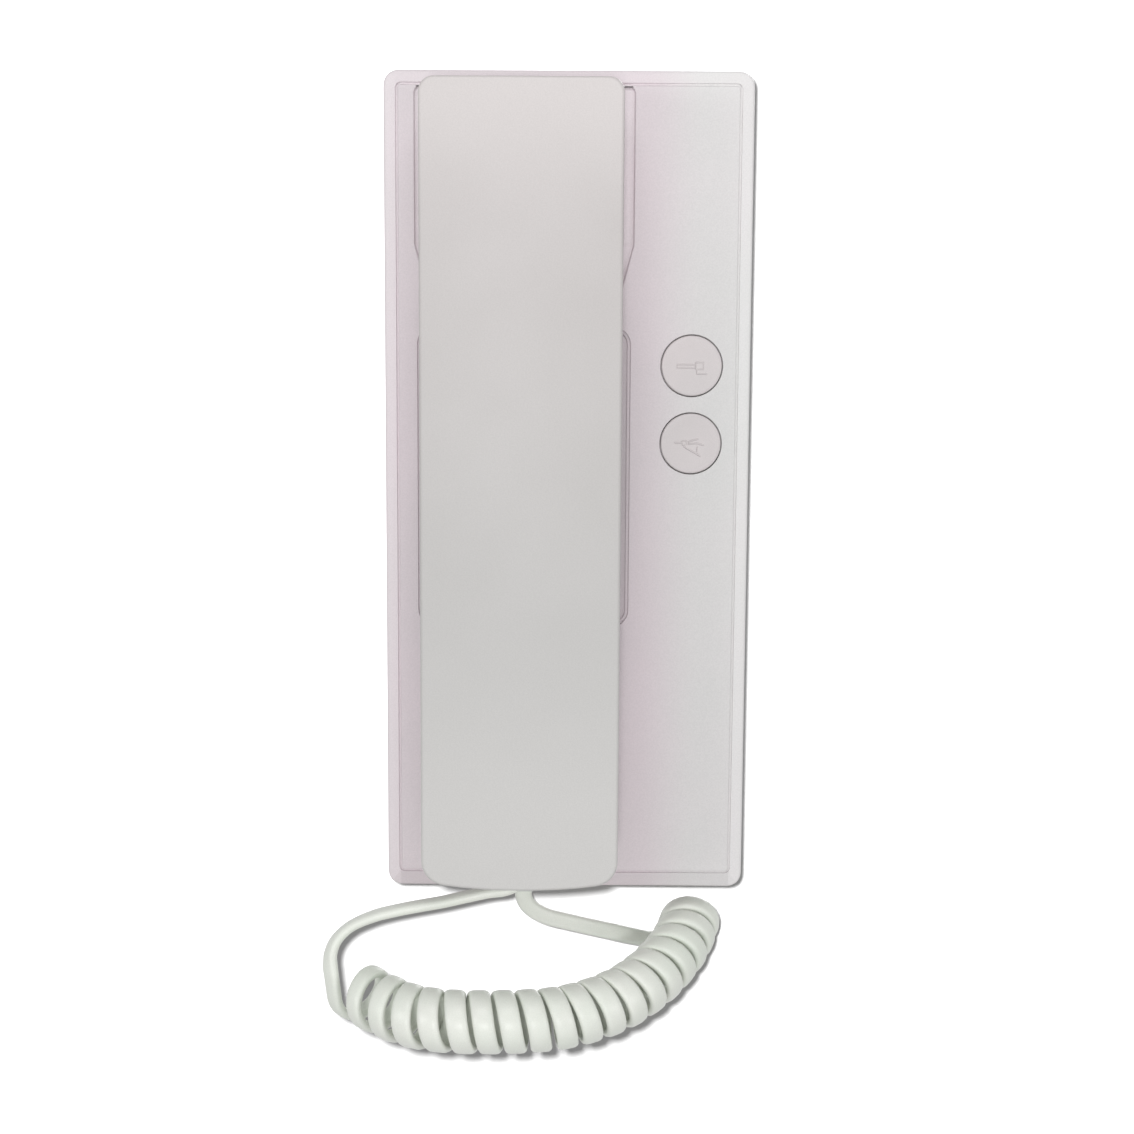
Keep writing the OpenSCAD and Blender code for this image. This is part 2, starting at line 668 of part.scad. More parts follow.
// One wire from the socket's front face at height z0 to a capsule's back at height z1
module wire(x, z0, z1, capsule_back) {
    run = tray_in - rib_h - wire_d / 2;
    peg(x, z0, jack_d + 4.9, run, wire_d);
    post(x, run, z0, z1, wire_d);
    peg(x, z1, capsule_back, run, wire_d);
    for (z = [z0, z1]) translate([x, -run, z]) sphere(d = wire_d, $fn = 16);
}

// ---- Cord -----------------------------------------------------------------------------------------

// Four-way modular plug, mouth end up, with the tapered strain relief under it
module cord_plug(depth, z_top, z_face) {
    block(cradle_x - 3.8, cradle_x + 3.8, depth - 3.3, depth + 3.3, z_face + 2.4, z_top);
    hull() {
        block(cradle_x - 3.6, cradle_x + 3.6, depth - 2.6, depth + 2.6, z_face + 2.2, z_face + 2.4);
        block(cradle_x - cord_w / 2 - 0.3, cradle_x + cord_w / 2 + 0.3, depth - cord_t / 2 - 0.3,
            depth + cord_t / 2 + 0.3, z_face, z_face + 0.1);
    }
}
module base_plug() color([0.8, 0.82, 0.8]) {
    cord_plug(socket_d, -97.2, base_plug_z);
}
module handset_plug() color([0.8, 0.82, 0.8]) {
    cord_plug(jack_d, -83, handset_plug_z);
}

// A point and a slope of the smooth curve through the axis points, at u spans from its start
function at_end(p, i) = i < 0 ? 2 * p[0] - p[1] : i > len(p) - 1 ? 2 * p[len(p) - 1] - p[len(p) - 2] : p[i];
function curve(p, u) =
    let (i = min(floor(u), len(p) - 2), t = u - i)
    let (a = at_end(p, i - 1), b = p[i], c = p[i + 1], d = at_end(p, i + 2))
    0.5 * (2 * b + (c - a) * t + (2 * a - 5 * b + 4 * c - d) * t * t + (3 * b - a - 3 * c + d) * t * t * t);
function slope(p, u) = unit(curve(p, min(u + 0.05, len(p) - 1)) - curve(p, max(u - 0.05, 0)));

// Centres of the coil's rings, and the axis direction there, along which the flat side lies
ring_count = floor(coil_turns * coil_rings + 0.5);
function coil_frame(k) =
    let (u = k / ring_count * (len(coil_axis) - 1), t = slope(coil_axis, u))
    let (up = unit([0, 0, 1] - t[2] * t), side = cross(t, up), a = 360 * k / coil_rings)
    [curve(coil_axis, u) + coil_r * (cos(a) * side - sin(a) * up), t];
helix = [for (k = [0:ring_count]) coil_frame(k)];
coil_in = unit(coil_frame(0.02)[0] - helix[0][0]);
coil_out = unit(helix[ring_count][0] - coil_frame(ring_count - 0.02)[0]);
coil_rings_all = concat([[helix[0][0] - cord_w * coil_in, helix[0][1]]], helix,
    [[helix[ring_count][0] + cord_w * coil_out, helix[ring_count][1]]]);

// Sweeps a flat oval section along [centre, flat direction] pairs
function ring(path, i, sides) =
    let (n = len(path) - 1, t = unit(path[min(i + 1, n)][0] - path[max(i - 1, 0)][0]))
    let (w = unit(path[i][1] - (path[i][1] * t) * t), v = cross(t, w))
    [for (j = [0:sides - 1]) let (a = 360 * (j + (sides > 6 ? 0.5 : 0)) / sides)
        path[i][0] + cord_w / 2 * cos(a) / (sides > 6 ? cos(180 / sides) : 1) * w
            + cord_t / 2 * sin(a) / (sides > 6 ? cos(180 / sides) : sin(60)) * v];
module ribbon(path, sides) {
    n = len(path);
    points = [for (i = [0:n - 1]) each ring(path, i, sides)];
    faces = concat(
        [for (i = [0:n - 2], j = [0:sides - 1]) let (a = i * sides + j, b = i * sides + (j + 1) % sides)
            each [[a, b, b + sides], [a, b + sides, a + sides]]],
        [for (j = [1:sides - 2]) each [[0, j + 1, j], [(n - 1) * sides, (n - 1) * sides + j, (n - 1) * sides + j + 1]]]);
    polyhedron(points, faces);
}

module handset_lead() color(cord_white) {
    start = coil_rings_all[0];
    ribbon(concat(handset_route, [for (back = [1.6, 0.3]) [start[0] - back * coil_in, -start[1]]]), 8);
}
module cord_coil() color(cord_white) {
    ribbon(coil_rings_all, 6);
}
module base_lead() color(cord_white) {
    end = coil_rings_all[ring_count + 2];
    ribbon(concat(base_route, [for (past = [1.6, 0]) [end[0] + past * coil_out, end[1]]]), 8);
}

// Least gap between neighbouring turns, edge to edge across the flat cord
turn_gaps = [for (k = [0:ring_count - coil_rings]) let (a = helix[k], b = helix[k + coil_rings], m = unit(a[1] + b[1]))
    (b[0] - a[0]) * m - cord_w];
echo(coil_least_gap = min(turn_gaps));
function path_length(p) = len(p) < 2 ? 0 : [for (i = 1, s = norm(p[1][0] - p[0][0]); i < len(p);
    i = i + 1, s = i < len(p) ? s + norm(p[i][0] - p[i - 1][0]) : s) s][len(p) - 2];
echo(handset_lead = path_length(handset_route), coil = path_length(coil_rings_all), base_lead = path_length(base_route));
echo(coil_start = coil_rings_all[0], coil_in = coil_in, coil_end = coil_rings_all[ring_count + 2], coil_out = coil_out);

wall_plate();
front_cover();
circuit_board();
board_screws();
terminal_block();
terminal_screws();
call_speaker();
speaker_ring();
key_mat();
capacitors();
chips();
volume_trimmer();
hook_switch();
hook_lever();
hook_pin();
hook_spring();
door_button();
light_button();
base_socket();
cover_screw();
handset_front_shell();
handset_back_shell();
receiver();
receiver_gasket();
microphone();
microphone_boot();
balance_weight();
handset_socket();
handset_screws();
handset_wires();
handset_plug();
handset_lead();
cord_coil();
base_lead();
base_plug();
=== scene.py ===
import math

import bmesh
import bpy
import numpy as np
from mathutils import Matrix, Vector
from mathutils.geometry import tessellate_polygon


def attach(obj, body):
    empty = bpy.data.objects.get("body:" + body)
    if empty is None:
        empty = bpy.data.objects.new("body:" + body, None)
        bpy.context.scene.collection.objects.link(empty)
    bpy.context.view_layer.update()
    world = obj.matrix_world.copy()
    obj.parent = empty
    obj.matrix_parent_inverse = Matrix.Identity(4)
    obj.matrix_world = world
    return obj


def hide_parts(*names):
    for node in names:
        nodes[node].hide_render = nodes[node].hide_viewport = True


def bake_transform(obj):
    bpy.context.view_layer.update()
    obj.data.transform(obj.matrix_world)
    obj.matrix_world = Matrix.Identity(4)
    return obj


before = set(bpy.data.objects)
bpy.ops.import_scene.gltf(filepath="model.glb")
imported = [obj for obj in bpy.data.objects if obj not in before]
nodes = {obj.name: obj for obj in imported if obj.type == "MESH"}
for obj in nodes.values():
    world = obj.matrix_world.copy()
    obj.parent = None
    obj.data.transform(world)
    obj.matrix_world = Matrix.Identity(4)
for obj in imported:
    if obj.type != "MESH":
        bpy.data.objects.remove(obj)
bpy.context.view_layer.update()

# ---- Wall plate -----------------------------------------------------------------------------------------
# A 3 mm plate of off-white ABS, injection moulded and screwed to the wall by its four corners. The board,
# the socket and the pivot of the hook lever sit on it, and the cover clips over it.


def shader_group(name, inputs, outputs):
    """A new shader node group with named float, colour or vector sockets, and its two ends."""
    kinds = {float: "NodeSocketFloat", tuple: "NodeSocketColor", str: "NodeSocketVector"}
    group = bpy.data.node_groups.new(name, "ShaderNodeTree")
    for label, start in inputs:
        socket = group.interface.new_socket(label, in_out="INPUT", socket_type=kinds[type(start)])
        if not isinstance(start, str):
            socket.default_value = start
    for label, start in outputs:
        group.interface.new_socket(label, in_out="OUTPUT", socket_type=kinds[type(start)])
    return group, group.nodes.new("NodeGroupInput"), group.nodes.new("NodeGroupOutput")


def step_node(tree, kind, links=(), **settings):
    """Adds a node, sets its settings or its sockets by name, and links what feeds it."""
    node = tree.nodes.new("ShaderNode" + kind)
    for key, value in settings.items():
        if key.startswith("_"):
            node.inputs[int(key[1:])].default_value = value
        else:
            setattr(node, key, value)
    for where, source in dict(links).items():
        tree.links.new(source, node.inputs[where])
    return node


def make_moulded_grain():
    """Moulded plastic: a fine eroded grain, a slow drift of the tint and slightly uneven gloss."""
    group, given, made = shader_group(
        "moulded_grain",
        [("Colour", (0.7, 0.7, 0.7, 1.0)), ("Drift colour", (0.65, 0.65, 0.65, 1.0)), ("Drift size", 40.0),
         ("Grain size", 0.35), ("Roughness", 0.45), ("Unevenness", 0.06)],
        [("Colour", ()), ("Roughness", 0.0), ("Height", 0.0)])
    place = step_node(group, "TexCoord")
    metres = step_node(group, "VectorMath", {0: place.outputs["Object"]}, operation="SCALE")
    metres.inputs["Scale"].default_value = 1000.0
    drift_scale = step_node(group, "Math", {1: given.outputs["Drift size"]}, operation="DIVIDE", _0=1.0)
    drift = step_node(group, "TexNoise", {"Vector": metres.outputs[0], "Scale": drift_scale.outputs[0]})
    drift.inputs["Detail"].default_value = 3.0
    drift.inputs["Roughness"].default_value = 0.55
    spread = step_node(group, "MapRange", {0: drift.outputs[0]}, _1=0.35, _2=0.68, _3=0.0, _4=1.0)
    grain_scale = step_node(group, "Math", {1: given.outputs["Grain size"]}, operation="DIVIDE", _0=1.0)
    grain = step_node(group, "TexNoise", {"Vector": metres.outputs[0], "Scale": grain_scale.outputs[0]})
    grain.inputs["Detail"].default_value = 2.0
    specks = step_node(group, "MapRange", {0: grain.outputs[0]}, _1=0.3, _2=0.7, _3=0.955, _4=1.03)
    tint = step_node(group, "Mix", {0: spread.outputs[0], 6: given.outputs["Colour"],
                                    7: given.outputs["Drift colour"]}, data_type="RGBA")
    shade = step_node(group, "VectorMath", {0: tint.outputs[2], "Scale": specks.outputs[0]},
                      operation="SCALE")
    worn = step_node(group, "MapRange", {0: drift.outputs[0], 4: given.outputs["Unevenness"]},
                     _1=0.3, _2=0.7, _3=0.0)
    gloss = step_node(group, "Math", {0: given.outputs["Roughness"], 1: worn.outputs[0]}, operation="ADD")
    group.links.new(shade.outputs[0], made.inputs["Colour"])
    group.links.new(gloss.outputs[0], made.inputs["Roughness"])
    group.links.new(grain.outputs[0], made.inputs["Height"])
    return group


moulded_grain = make_moulded_grain()


def plastic(name, colour, drift_colour, roughness=0.45, grain=0.35, relief=0.00002, drift=40.0,
            unevenness=0.06, **shader):
    """A moulded plastic: the grain group feeds the shader, and constants sit on the shader itself."""
    material = bpy.data.materials.new(name)
    material.use_nodes = True
    tree = material.node_tree
    surface = tree.nodes["Principled BSDF"]
    skin = tree.nodes.new("ShaderNodeGroup")
    skin.node_tree = moulded_grain
    skin.inputs["Colour"].default_value = (*colour, 1.0)
    skin.inputs["Drift colour"].default_value = (*drift_colour, 1.0)
    skin.inputs["Drift size"].default_value = drift
    skin.inputs["Grain size"].default_value = grain
    skin.inputs["Roughness"].default_value = roughness
    skin.inputs["Unevenness"].default_value = unevenness
    bump = step_node(tree, "Bump", {"Height": skin.outputs["Height"]})
    bump.inputs["Strength"].default_value = 0.5
    bump.inputs["Distance"].default_value = relief
    tree.links.new(skin.outputs["Colour"], surface.inputs["Base Color"])
    tree.links.new(skin.outputs["Roughness"], surface.inputs["Roughness"])
    tree.links.new(bump.outputs["Normal"], surface.inputs["Normal"])
    for socket, value in shader.items():
        surface.inputs[socket.replace("_", " ")].default_value = value
    return material


def dress(material, *names):
    """Gives CAD nodes their material."""
    for name in names:
        nodes[name].data.materials.clear()
        nodes[name].data.materials.append(material)


plate_plastic = plastic("plate_plastic", (0.62, 0.62, 0.60), (0.57, 0.57, 0.55), 0.5, grain=0.5)
dress(plate_plastic, "wall_plate", "speaker_ring")

# ---- Circuit board and what is soldered to it -------------------------------------------------------------
# A phenolic board under green solder mask, held by four zinc plated screws, with the terminal block, two
# small chips, four electrolytic capacitors and a volume trimmer. Seen through the cable entry only.

solder_mask = plastic("solder_mask", (0.03, 0.17, 0.07), (0.02, 0.12, 0.05), 0.28, grain=1.6, relief=0.00006,
                      drift=6.0)
chip_plastic = plastic("chip_plastic", (0.03, 0.03, 0.033), (0.045, 0.045, 0.05), 0.55, grain=0.2)
terminal_plastic = plastic("terminal_plastic", (0.04, 0.26, 0.09), (0.035, 0.21, 0.08), 0.35)
sleeve = plastic("capacitor_sleeve", (0.02, 0.035, 0.12), (0.03, 0.045, 0.15), 0.3, drift=5.0)
trimmer_plastic = plastic("trimmer_plastic", (0.03, 0.09, 0.42), (0.03, 0.075, 0.34), 0.35)
dress(solder_mask, "circuit_board")
dress(chip_plastic, "chips", "hook_switch", "base_socket", "handset_socket")
dress(terminal_plastic, "terminal_block")
dress(sleeve, "capacitors")
dress(trimmer_plastic, "volume_trimmer")


def metal(name, colour, roughness, drift=9.0):
    """Plated or drawn metal: fine mottling of the plating and of its gloss."""
    return plastic(name, colour, tuple(c * 0.82 for c in colour), roughness, grain=0.12, relief=0.000008,
                   drift=drift, unevenness=0.12, Metallic=1.0)


zinc = metal("zinc_plate", (0.60, 0.61, 0.62), 0.3)
aluminium = metal("capsule_aluminium", (0.62, 0.62, 0.63), 0.34)
bronze = metal("spring_bronze", (0.55, 0.36, 0.16), 0.3)
dress(zinc, "board_screws", "terminal_screws", "cover_screw", "handset_screws", "hook_pin", "balance_weight")
dress(aluminium, "microphone")
dress(bronze, "hook_spring")

# ---- Call speaker, key mat and hook lever -----------------------------------------------------------------
# A flat paper cone speaker behind the slots of the finger recess, a silicone mat with a dome under each
# button, and the lever that the ear cup holds in. Its nose shows through the pocket floor.

speaker_black = plastic("speaker_black", (0.035, 0.035, 0.04), (0.05, 0.05, 0.052), 0.7, grain=0.6,
                        relief=0.00004)
silicone = plastic("silicone", (0.5, 0.51, 0.53), (0.46, 0.47, 0.49), 0.5, drift=12.0)
soft_rubber = plastic("soft_rubber", (0.03, 0.03, 0.03), (0.045, 0.045, 0.045), 0.75)
dress(speaker_black, "call_speaker", "receiver")
dress(silicone, "key_mat")
dress(soft_rubber, "receiver_gasket", "microphone_boot")

# ---- Front cover ------------------------------------------------------------------------------------------
# One moulding of white ABS with a fine spark grain, clipped over the wall plate. A bevelled band runs round
# it behind a seam groove. Two pockets take the cups of the handset, with a finger recess between them.

half_w, half_h, base_d, wall, corner_r = 47.5, 107.5, 24.0, 2.0, 4.0
band, band_low, band_drop, rim_r = 3.5, 4.4, 1.6, 0.55
cradle_x, ledge_d, step_d, pocket_floor, well_floor = -11.3, 23.0, 22.6, 16.0, 20.0
shoulder_z, skirt_d = 63.5, 0.6
button_x, button_heights, hole_r, collar_r = 32.2, (32.6, 12.4), 8.1, 10.05
quarter_turn = (0, math.pi / 6, math.pi / 3, math.pi / 2)


def corner_arc(a, b, c, radius, steps):
    """The arc that rounds corner b of the path a-b-c."""
    a, b, c = (np.array(p, float) for p in (a, b, c))
    u, v = (a - b) / np.linalg.norm(a - b), (c - b) / np.linalg.norm(c - b)
    half = math.acos(max(-1.0, min(1.0, float(u @ v)))) / 2
    toward = (u + v) / np.linalg.norm(u + v)
    middle = b + toward * radius / math.sin(half)
    p, q = b + u * radius / math.tan(half) - middle, b + v * radius / math.tan(half) - middle
    start = math.atan2(p[1], p[0])
    sweep = (math.atan2(q[1], q[0]) - start + 3 * math.pi) % (2 * math.pi) - math.pi
    angles = [start + sweep * i / steps for i in range(steps + 1)]
    return [tuple(middle + radius * np.array([math.cos(angle), math.sin(angle)])) for angle in angles]


def rounded(points, radii, steps=8):
    """A closed outline with each corner rounded by its own radius, where 0 keeps a single point."""
    n = len(points)
    outline = []
    for i in range(n):
        if radii[i] <= 0:
            outline.append(tuple(points[i]))
        else:
            outline += corner_arc(points[i - 1], points[i], points[(i + 1) % n], radii[i], steps)
    return outline


def box_outline(x0, x1, z0, z1, radius, steps=8):
    return rounded([(x1, z1), (x0, z1), (x0, z0), (x1, z0)], [radius] * 4, steps)


def circle_outline(x, z, radius, steps=48):
    return [(x + radius * math.cos(2 * math.pi * i / steps), z + radius * math.sin(2 * math.pi * i / steps))
            for i in range(steps)]


class Moulding:
    """A closed skin made of loops of points in millimetres: [across, depth from the wall, height]."""

    def __init__(self):
        self.points, self.faces = [], []

    def loop(self, outline, depth):
        """Adds the points of an outline at one depth, or at the depth that a function gives."""
        first = len(self.points)
        for x, z in outline:
            self.points.append((x, depth(x, z) if callable(depth) else depth, z))
        return list(range(first, len(self.points)))

    def band(self, a, b):
        """Faces between two loops with as many points."""
        n = len(a)
        self.faces += [(a[i], a[(i + 1) % n], b[(i + 1) % n], b[i]) for i in range(n)]

    def run(self, rings):
        """Bands between one loop and the next, from outlines with their depths."""
        loops = [self.loop(outline, depth) for outline, depth in rings]
        for a, b in zip(loops, loops[1:]):
            self.band(a, b)
        return loops[0], loops[-1]

    def sheet(self, outer, holes=()):
        """A flat face inside one loop and round its holes."""
        rings = [outer, *holes]
        flat = [[Vector((self.points[i][0], self.points[i][2], 0)) for i in ring] for ring in rings]
        every = [i for ring in rings for i in ring]
        self.faces += [tuple(every[i] for i in t) for t in tessellate_polygon(flat)]

    def solid(self, name, weld=False):
        """The skin as a mesh in metres, with its faces outwards and doubled points welded on request."""
        mesh = bpy.data.meshes.new(name)
        mesh.from_pydata([(x / 1000, -d / 1000, z / 1000) for x, d, z in self.points], [], self.faces)
        work = bmesh.new()
        work.from_mesh(mesh)
        if weld:
            bmesh.ops.remove_doubles(work, verts=work.verts, dist=1e-7)
            bmesh.ops.dissolve_degenerate(work, dist=1e-8, edges=work.edges)
        bmesh.ops.recalc_face_normals(work, faces=work.faces)
        if work.calc_volume(signed=True) < 0:
            bmesh.ops.reverse_faces(work, faces=work.faces)
        work.to_mesh(mesh)
        work.free()
        return mesh

    def piece(self, name, material, crease=38.0):
        """The finished object, shaded smooth except where faces meet at more than the crease."""
        mesh = self.solid(name, weld=True)
        mesh.materials.append(material)
        smooth_shading(mesh, crease)
        obj = bpy.data.objects.new(name, mesh)
        bpy.context.scene.collection.objects.link(obj)
        return obj


def smooth_shading(mesh, crease=38.0):
    mesh.shade_smooth()
    mesh.set_sharp_from_angle(angle=math.radians(crease))


def even_shading(obj):
    """Lets the large flat faces lead the shading of the fillets beside them."""
    weigh = obj.modifiers.new("even_shading", "WEIGHTED_NORMAL")
    weigh.keep_sharp = True
    weigh.weight = 80


def cut(obj, *shapes):
    """Cuts closed shapes out of a piece, for good, and shades it again."""
    for shape in shapes:
        tool = bpy.data.objects.new("tool", shape)
        bpy.context.scene.collection.objects.link(tool)
        carve = obj.modifiers.new("carve", "BOOLEAN")
        carve.operation, carve.solver, carve.object = "DIFFERENCE", "EXACT", tool
        bpy.context.view_layer.update()
        shaped = bpy.data.meshes.new_from_object(obj.evaluated_get(bpy.context.evaluated_depsgraph_get()))
        obj.modifiers.clear()
        obj.data = shaped
        bpy.data.objects.remove(tool)
    smooth_shading(obj.data)
    even_shading(obj)


def drill(outline, start, end, along="depth"):
    """A closed shape to cut with, between two depths, or between two heights where along is height."""
    shape = Moulding()
    for loop in shape.run([(outline, start), (outline, end)]):
        shape.sheet(loop)
    if along == "height":
        shape.points = [(x, z, d) for x, d, z in shape.points]
    return shape.solid("tool")


def cover_outline(inset):
    return box_outline(-half_w + inset, half_w - inset, -half_h + inset, half_h - inset,
                       max(corner_r - inset, 1), 12)


def panel_outline(grow):
    return box_outline(-half_w + band - grow, half_w - band + grow, -half_h + band_low - grow,
                       half_h - band + grow, 1.2 + max(grow, -0.8), 12)


def band_depth(x, z):
    """Depth of the bevelled band, whose four slopes meet on mitre lines."""
    slope, slope_low = band_drop / band, band_drop / band_low
    return base_d - max(0, (abs(x) - half_w + band) * slope, (z - half_h + band) * slope,
                        (-z - half_h + band_low) * slope_low)


def mixed(a, b, t):
    """The outline at t of the way from outline a to outline b."""
    return [(p[0] + (q[0] - p[0]) * t, p[1] + (q[1] - p[1]) * t) for p, q in zip(a, b)]


def shouldered(half, top, foot_half, foot_r, grow):
    """The ear pocket from the front: its slanted shoulders run in to the sill."""
    right = [(half + grow, top + grow), (half + grow, shoulder_z), (foot_half + grow, 50 - grow)]
    points = [(cradle_x + x, z) for x, z in right] + [(cradle_x - x, z) for x, z in reversed(right)]
    return rounded(points, [max(r + grow, 0.5) for r in (2, 4, foot_r, foot_r, 4, 2)])


def ear_ledge(grow):
    return shouldered(28.2, 103.6, 24.6, 4, grow)


def ear_pocket(grow):
    return shouldered(25.2, 102.6, 22.2, 1, grow)


def mouth_pocket(grow):
    return box_outline(cradle_x - 22 - grow, cradle_x + 22 + grow, -92.6 - grow, -48 + grow,
                       max(5 + grow, 0.6))


def finger_recess(grow):
    return box_outline(cradle_x - 26.8 - grow, cradle_x + 26.8 + grow, -35.4 - grow, 41.5 + grow,
                       max(3.5 + grow, 0.6))


def finger_well(grow):
    return box_outline(cradle_x - 25 - grow, cradle_x + 25 + grow, -34.2 - grow, 40.3 + grow,
                       max(3 + grow, 0.6))


def speaker_slots(grow):
    return [box_outline(x - 0.8 - grow, x + 0.8 + grow, -7 - grow, 11 + grow, 0.7, 4)
            for x in range(-26, 0, 4)]


def lip(shape, top, soft):
    """Rings that round the lip of a pocket by the radius soft."""
    return [(shape(soft * (1 - math.sin(a))), top - soft * (1 - math.cos(a))) for a in quarter_turn]


def floor(shape, low, fillet, draft=0.12):
    """Rings that end a drafted pocket wall in a filleted floor."""
    return [(shape(-draft - fillet * (1 - math.cos(a))), low + fillet * (1 - math.sin(a)))
            for a in quarter_turn]


def make_front_cover():
    skin = Moulding()
    # The side wall, the rounded outer edge of the band, the band itself and the seam groove
    rings = [(cover_outline(0.25), skirt_d), (cover_outline(0), skirt_d + 0.25)]
    for t in (0.0, 0.35, 0.7, 1.0):
        drop = rim_r * (1 - math.sin(t * math.pi / 2))
        rings.append((cover_outline(rim_r * (1 - math.cos(t * math.pi / 2))),
                      lambda x, z, drop=drop: band_depth(x, z) - drop))
    rim, flat = cover_outline(rim_r), panel_outline(0.35)
    rings += [(mixed(rim, flat, t), band_depth) for t in (0.3, 0.6, 0.85, 0.97)]
    rings.append((panel_outline(0.37), lambda x, z: band_depth(x, z) - 0.05))
    rings += [(panel_outline(grow), base_d - drop) for grow, drop in
              ((0.3, 0.45), (0.24, 0.7), (-0.24, 0.7), (-0.3, 0.4), (-0.38, 0.08), (-0.52, 0))]
    rim_low, panel = skin.run(rings)
    # The pockets have softened lips, drafted walls and filleted floors. A shallow ledge runs round the ear
    # pocket, and two fine steps round the finger recess.
    ear_lip, ear_floor = skin.run(lip(ear_ledge, base_d, 0.3) + floor(ear_ledge, ledge_d, 0.25, 0.02)
                                  + lip(ear_pocket, ledge_d, 0.5) + floor(ear_pocket, pocket_floor, 0.8))
    mouth_lip, mouth_floor = skin.run(lip(mouth_pocket, base_d, 0.4) + floor(mouth_pocket, pocket_floor, 0.8))
    recess_steps = ((1.05, 0), (0.86, 0.05), (0.8, 0.2), (0.78, 0.68), (0.66, 0.8), (0.22, 0.8), (0.05, 0.86),
                    (0, 1.0), (-0.02, 1.3), (-0.14, 1.4))
    recess_lip, recess_floor = skin.run([(finger_recess(grow), base_d - drop) for grow, drop in recess_steps]
                                        + lip(finger_well, step_d, 0.5) + floor(finger_well, well_floor, 0.9))
    # The inner side: the mouth of the shell, its ceiling, and the pocket walls that hang from it
    ceiling_d = base_d - wall
    inner_rim, ceiling = skin.run([(cover_outline(wall), skirt_d), (cover_outline(wall), ceiling_d - 0.8),
                                   (cover_outline(wall + 0.8), ceiling_d)])
    skin.band(rim_low, inner_rim)
    tub_tops, tub_floors, panel_holes = [], [], []
    for ledge, ledge_low, shape, low_d in ((ear_ledge, ledge_d, ear_pocket, pocket_floor),
                                           (mouth_pocket, ledge_d, mouth_pocket, pocket_floor),
                                           (finger_recess, step_d, finger_well, well_floor)):
        rings = [(shape(wall), ledge_low - wall), (shape(wall), low_d - wall)]
        if ledge is not shape:
            rings.insert(0, (ledge(wall), ledge_low - wall))
        top, low = skin.run([(ledge(wall), ceiling_d), *rings])
        tub_tops.append(top)
        tub_floors.append(low)
    # Button holes with collars behind them
    collar_low, collar_in = 19.4, collar_r - 0.55
    for z in button_heights:
        hole_lip, low = skin.run([(circle_outline(button_x, z, r), d) for r, d in
                                  ((hole_r + 0.22, base_d), (hole_r + 0.08, base_d - 0.04),
                                   (hole_r, base_d - 0.18), (hole_r, ceiling_d), (collar_in, ceiling_d),
                                   (collar_in, collar_low))])
        top, rim = skin.run([(circle_outline(button_x, z, collar_r), d) for d in (ceiling_d, collar_low)])
        skin.band(low, rim)
        tub_tops.append(top)
        panel_holes.append(hole_lip)
    skin.sheet(panel, [ear_lip, mouth_lip, recess_lip, *panel_holes])
    skin.sheet(ceiling, tub_tops)
    # The slot for the hook lever and the sound slots go right through
    wide, true = [box_outline(-7 - g, 3 + g, 63 - g, 87 + g, 0.8 + g, 6) for g in (0.2, 0)]
    slot_lip, slot_low = skin.run([(wide, pocket_floor), (true, pocket_floor - 0.2),
                                   (true, pocket_floor - wall)])
    skin.sheet(ear_floor, [slot_lip])
    skin.sheet(tub_floors[0], [slot_low])
    sound_lips, sound_lows = [], []
    for wide, true in zip(speaker_slots(0.18), speaker_slots(0)):
        top, low = skin.run([(wide, well_floor), (true, well_floor - 0.18), (true, well_floor - wall)])
        sound_lips.append(top)
        sound_lows.append(low)
    skin.sheet(recess_floor, sound_lips)
    skin.sheet(tub_floors[2], sound_lows)
    skin.sheet(mouth_floor)
    skin.sheet(tub_floors[1])
    return skin


def make_cover_zones():
    """Painted light masks of the cover: shade beside the cradle, a lighter band and lighter shallow steps."""
    group, _, made = shader_group("cover_zones", [], [("Cradle", 0.0), ("Band highlight", 0.0), ("Steps", 0.0)])
    place = step_node(group, "TexCoord")
    axes = step_node(group, "SeparateXYZ", {0: place.outputs["Object"]})
    # Painted shade with a pinkish cast across the cradle and beside the handset, fading out 30 to 47 mm off
    # its middle
    off = step_node(group, "Math", {0: axes.outputs[0]}, operation="ADD", _1=-cradle_x / 1000)
    apart = step_node(group, "Math", {0: off.outputs[0]}, operation="ABSOLUTE")
    cradle_shade = step_node(group, "MapRange", {0: apart.outputs[0]}, interpolation_type="SMOOTHSTEP",
                       _1=0.030, _2=0.047, _3=1.0, _4=0.0)
    # A painted highlight lightens the bevelled band round the panel, and the bottom band gets only a tenth of
    # it
    across = step_node(group, "Math", {0: axes.outputs[0]}, operation="ABSOLUTE")
    edges = [(across.outputs[0], 0.04385, 0.04415), (axes.outputs[2], 0.10385, 0.10415)]
    masks = [step_node(group, "MapRange", {0: source}, _1=a, _2=b, _3=0.0, _4=1.0) for source, a, b in edges]
    masks.append(step_node(group, "MapRange", {0: axes.outputs[2]}, _1=-0.10295, _2=-0.10325, _3=0.0, _4=0.1))
    rim = step_node(group, "Math", {0: masks[0].outputs[0], 1: masks[1].outputs[0]}, operation="MAXIMUM")
    rim = step_node(group, "Math", {0: rim.outputs[0], 1: masks[2].outputs[0]}, operation="MAXIMUM")
    # The ledge round the ear pocket and the step round the finger recess lie 0.1 to 1.2 mm under the panel
    # Painted light lifts these shallow floors and walls against the shade that falls in them
    limits = [(axes.outputs[1], -0.02265, -0.0228), (axes.outputs[1], -0.02395, -0.02385),
              (apart.outputs[0], 0.0304, 0.0302), (axes.outputs[2], 0.1038, 0.1037),
              (axes.outputs[2], -0.0382, -0.038)]
    inside = [step_node(group, "MapRange", {0: source}, _1=a, _2=b, _3=0.0, _4=1.0)
              for source, a, b in limits]
    steps = inside[0]
    for mask in inside[1:]:
        steps = step_node(group, "Math", {0: steps.outputs[0], 1: mask.outputs[0]}, operation="MULTIPLY")
    group.links.new(cradle_shade.outputs[0], made.inputs["Cradle"])
    group.links.new(rim.outputs[0], made.inputs["Band highlight"])
    group.links.new(steps.outputs[0], made.inputs["Steps"])
    return group


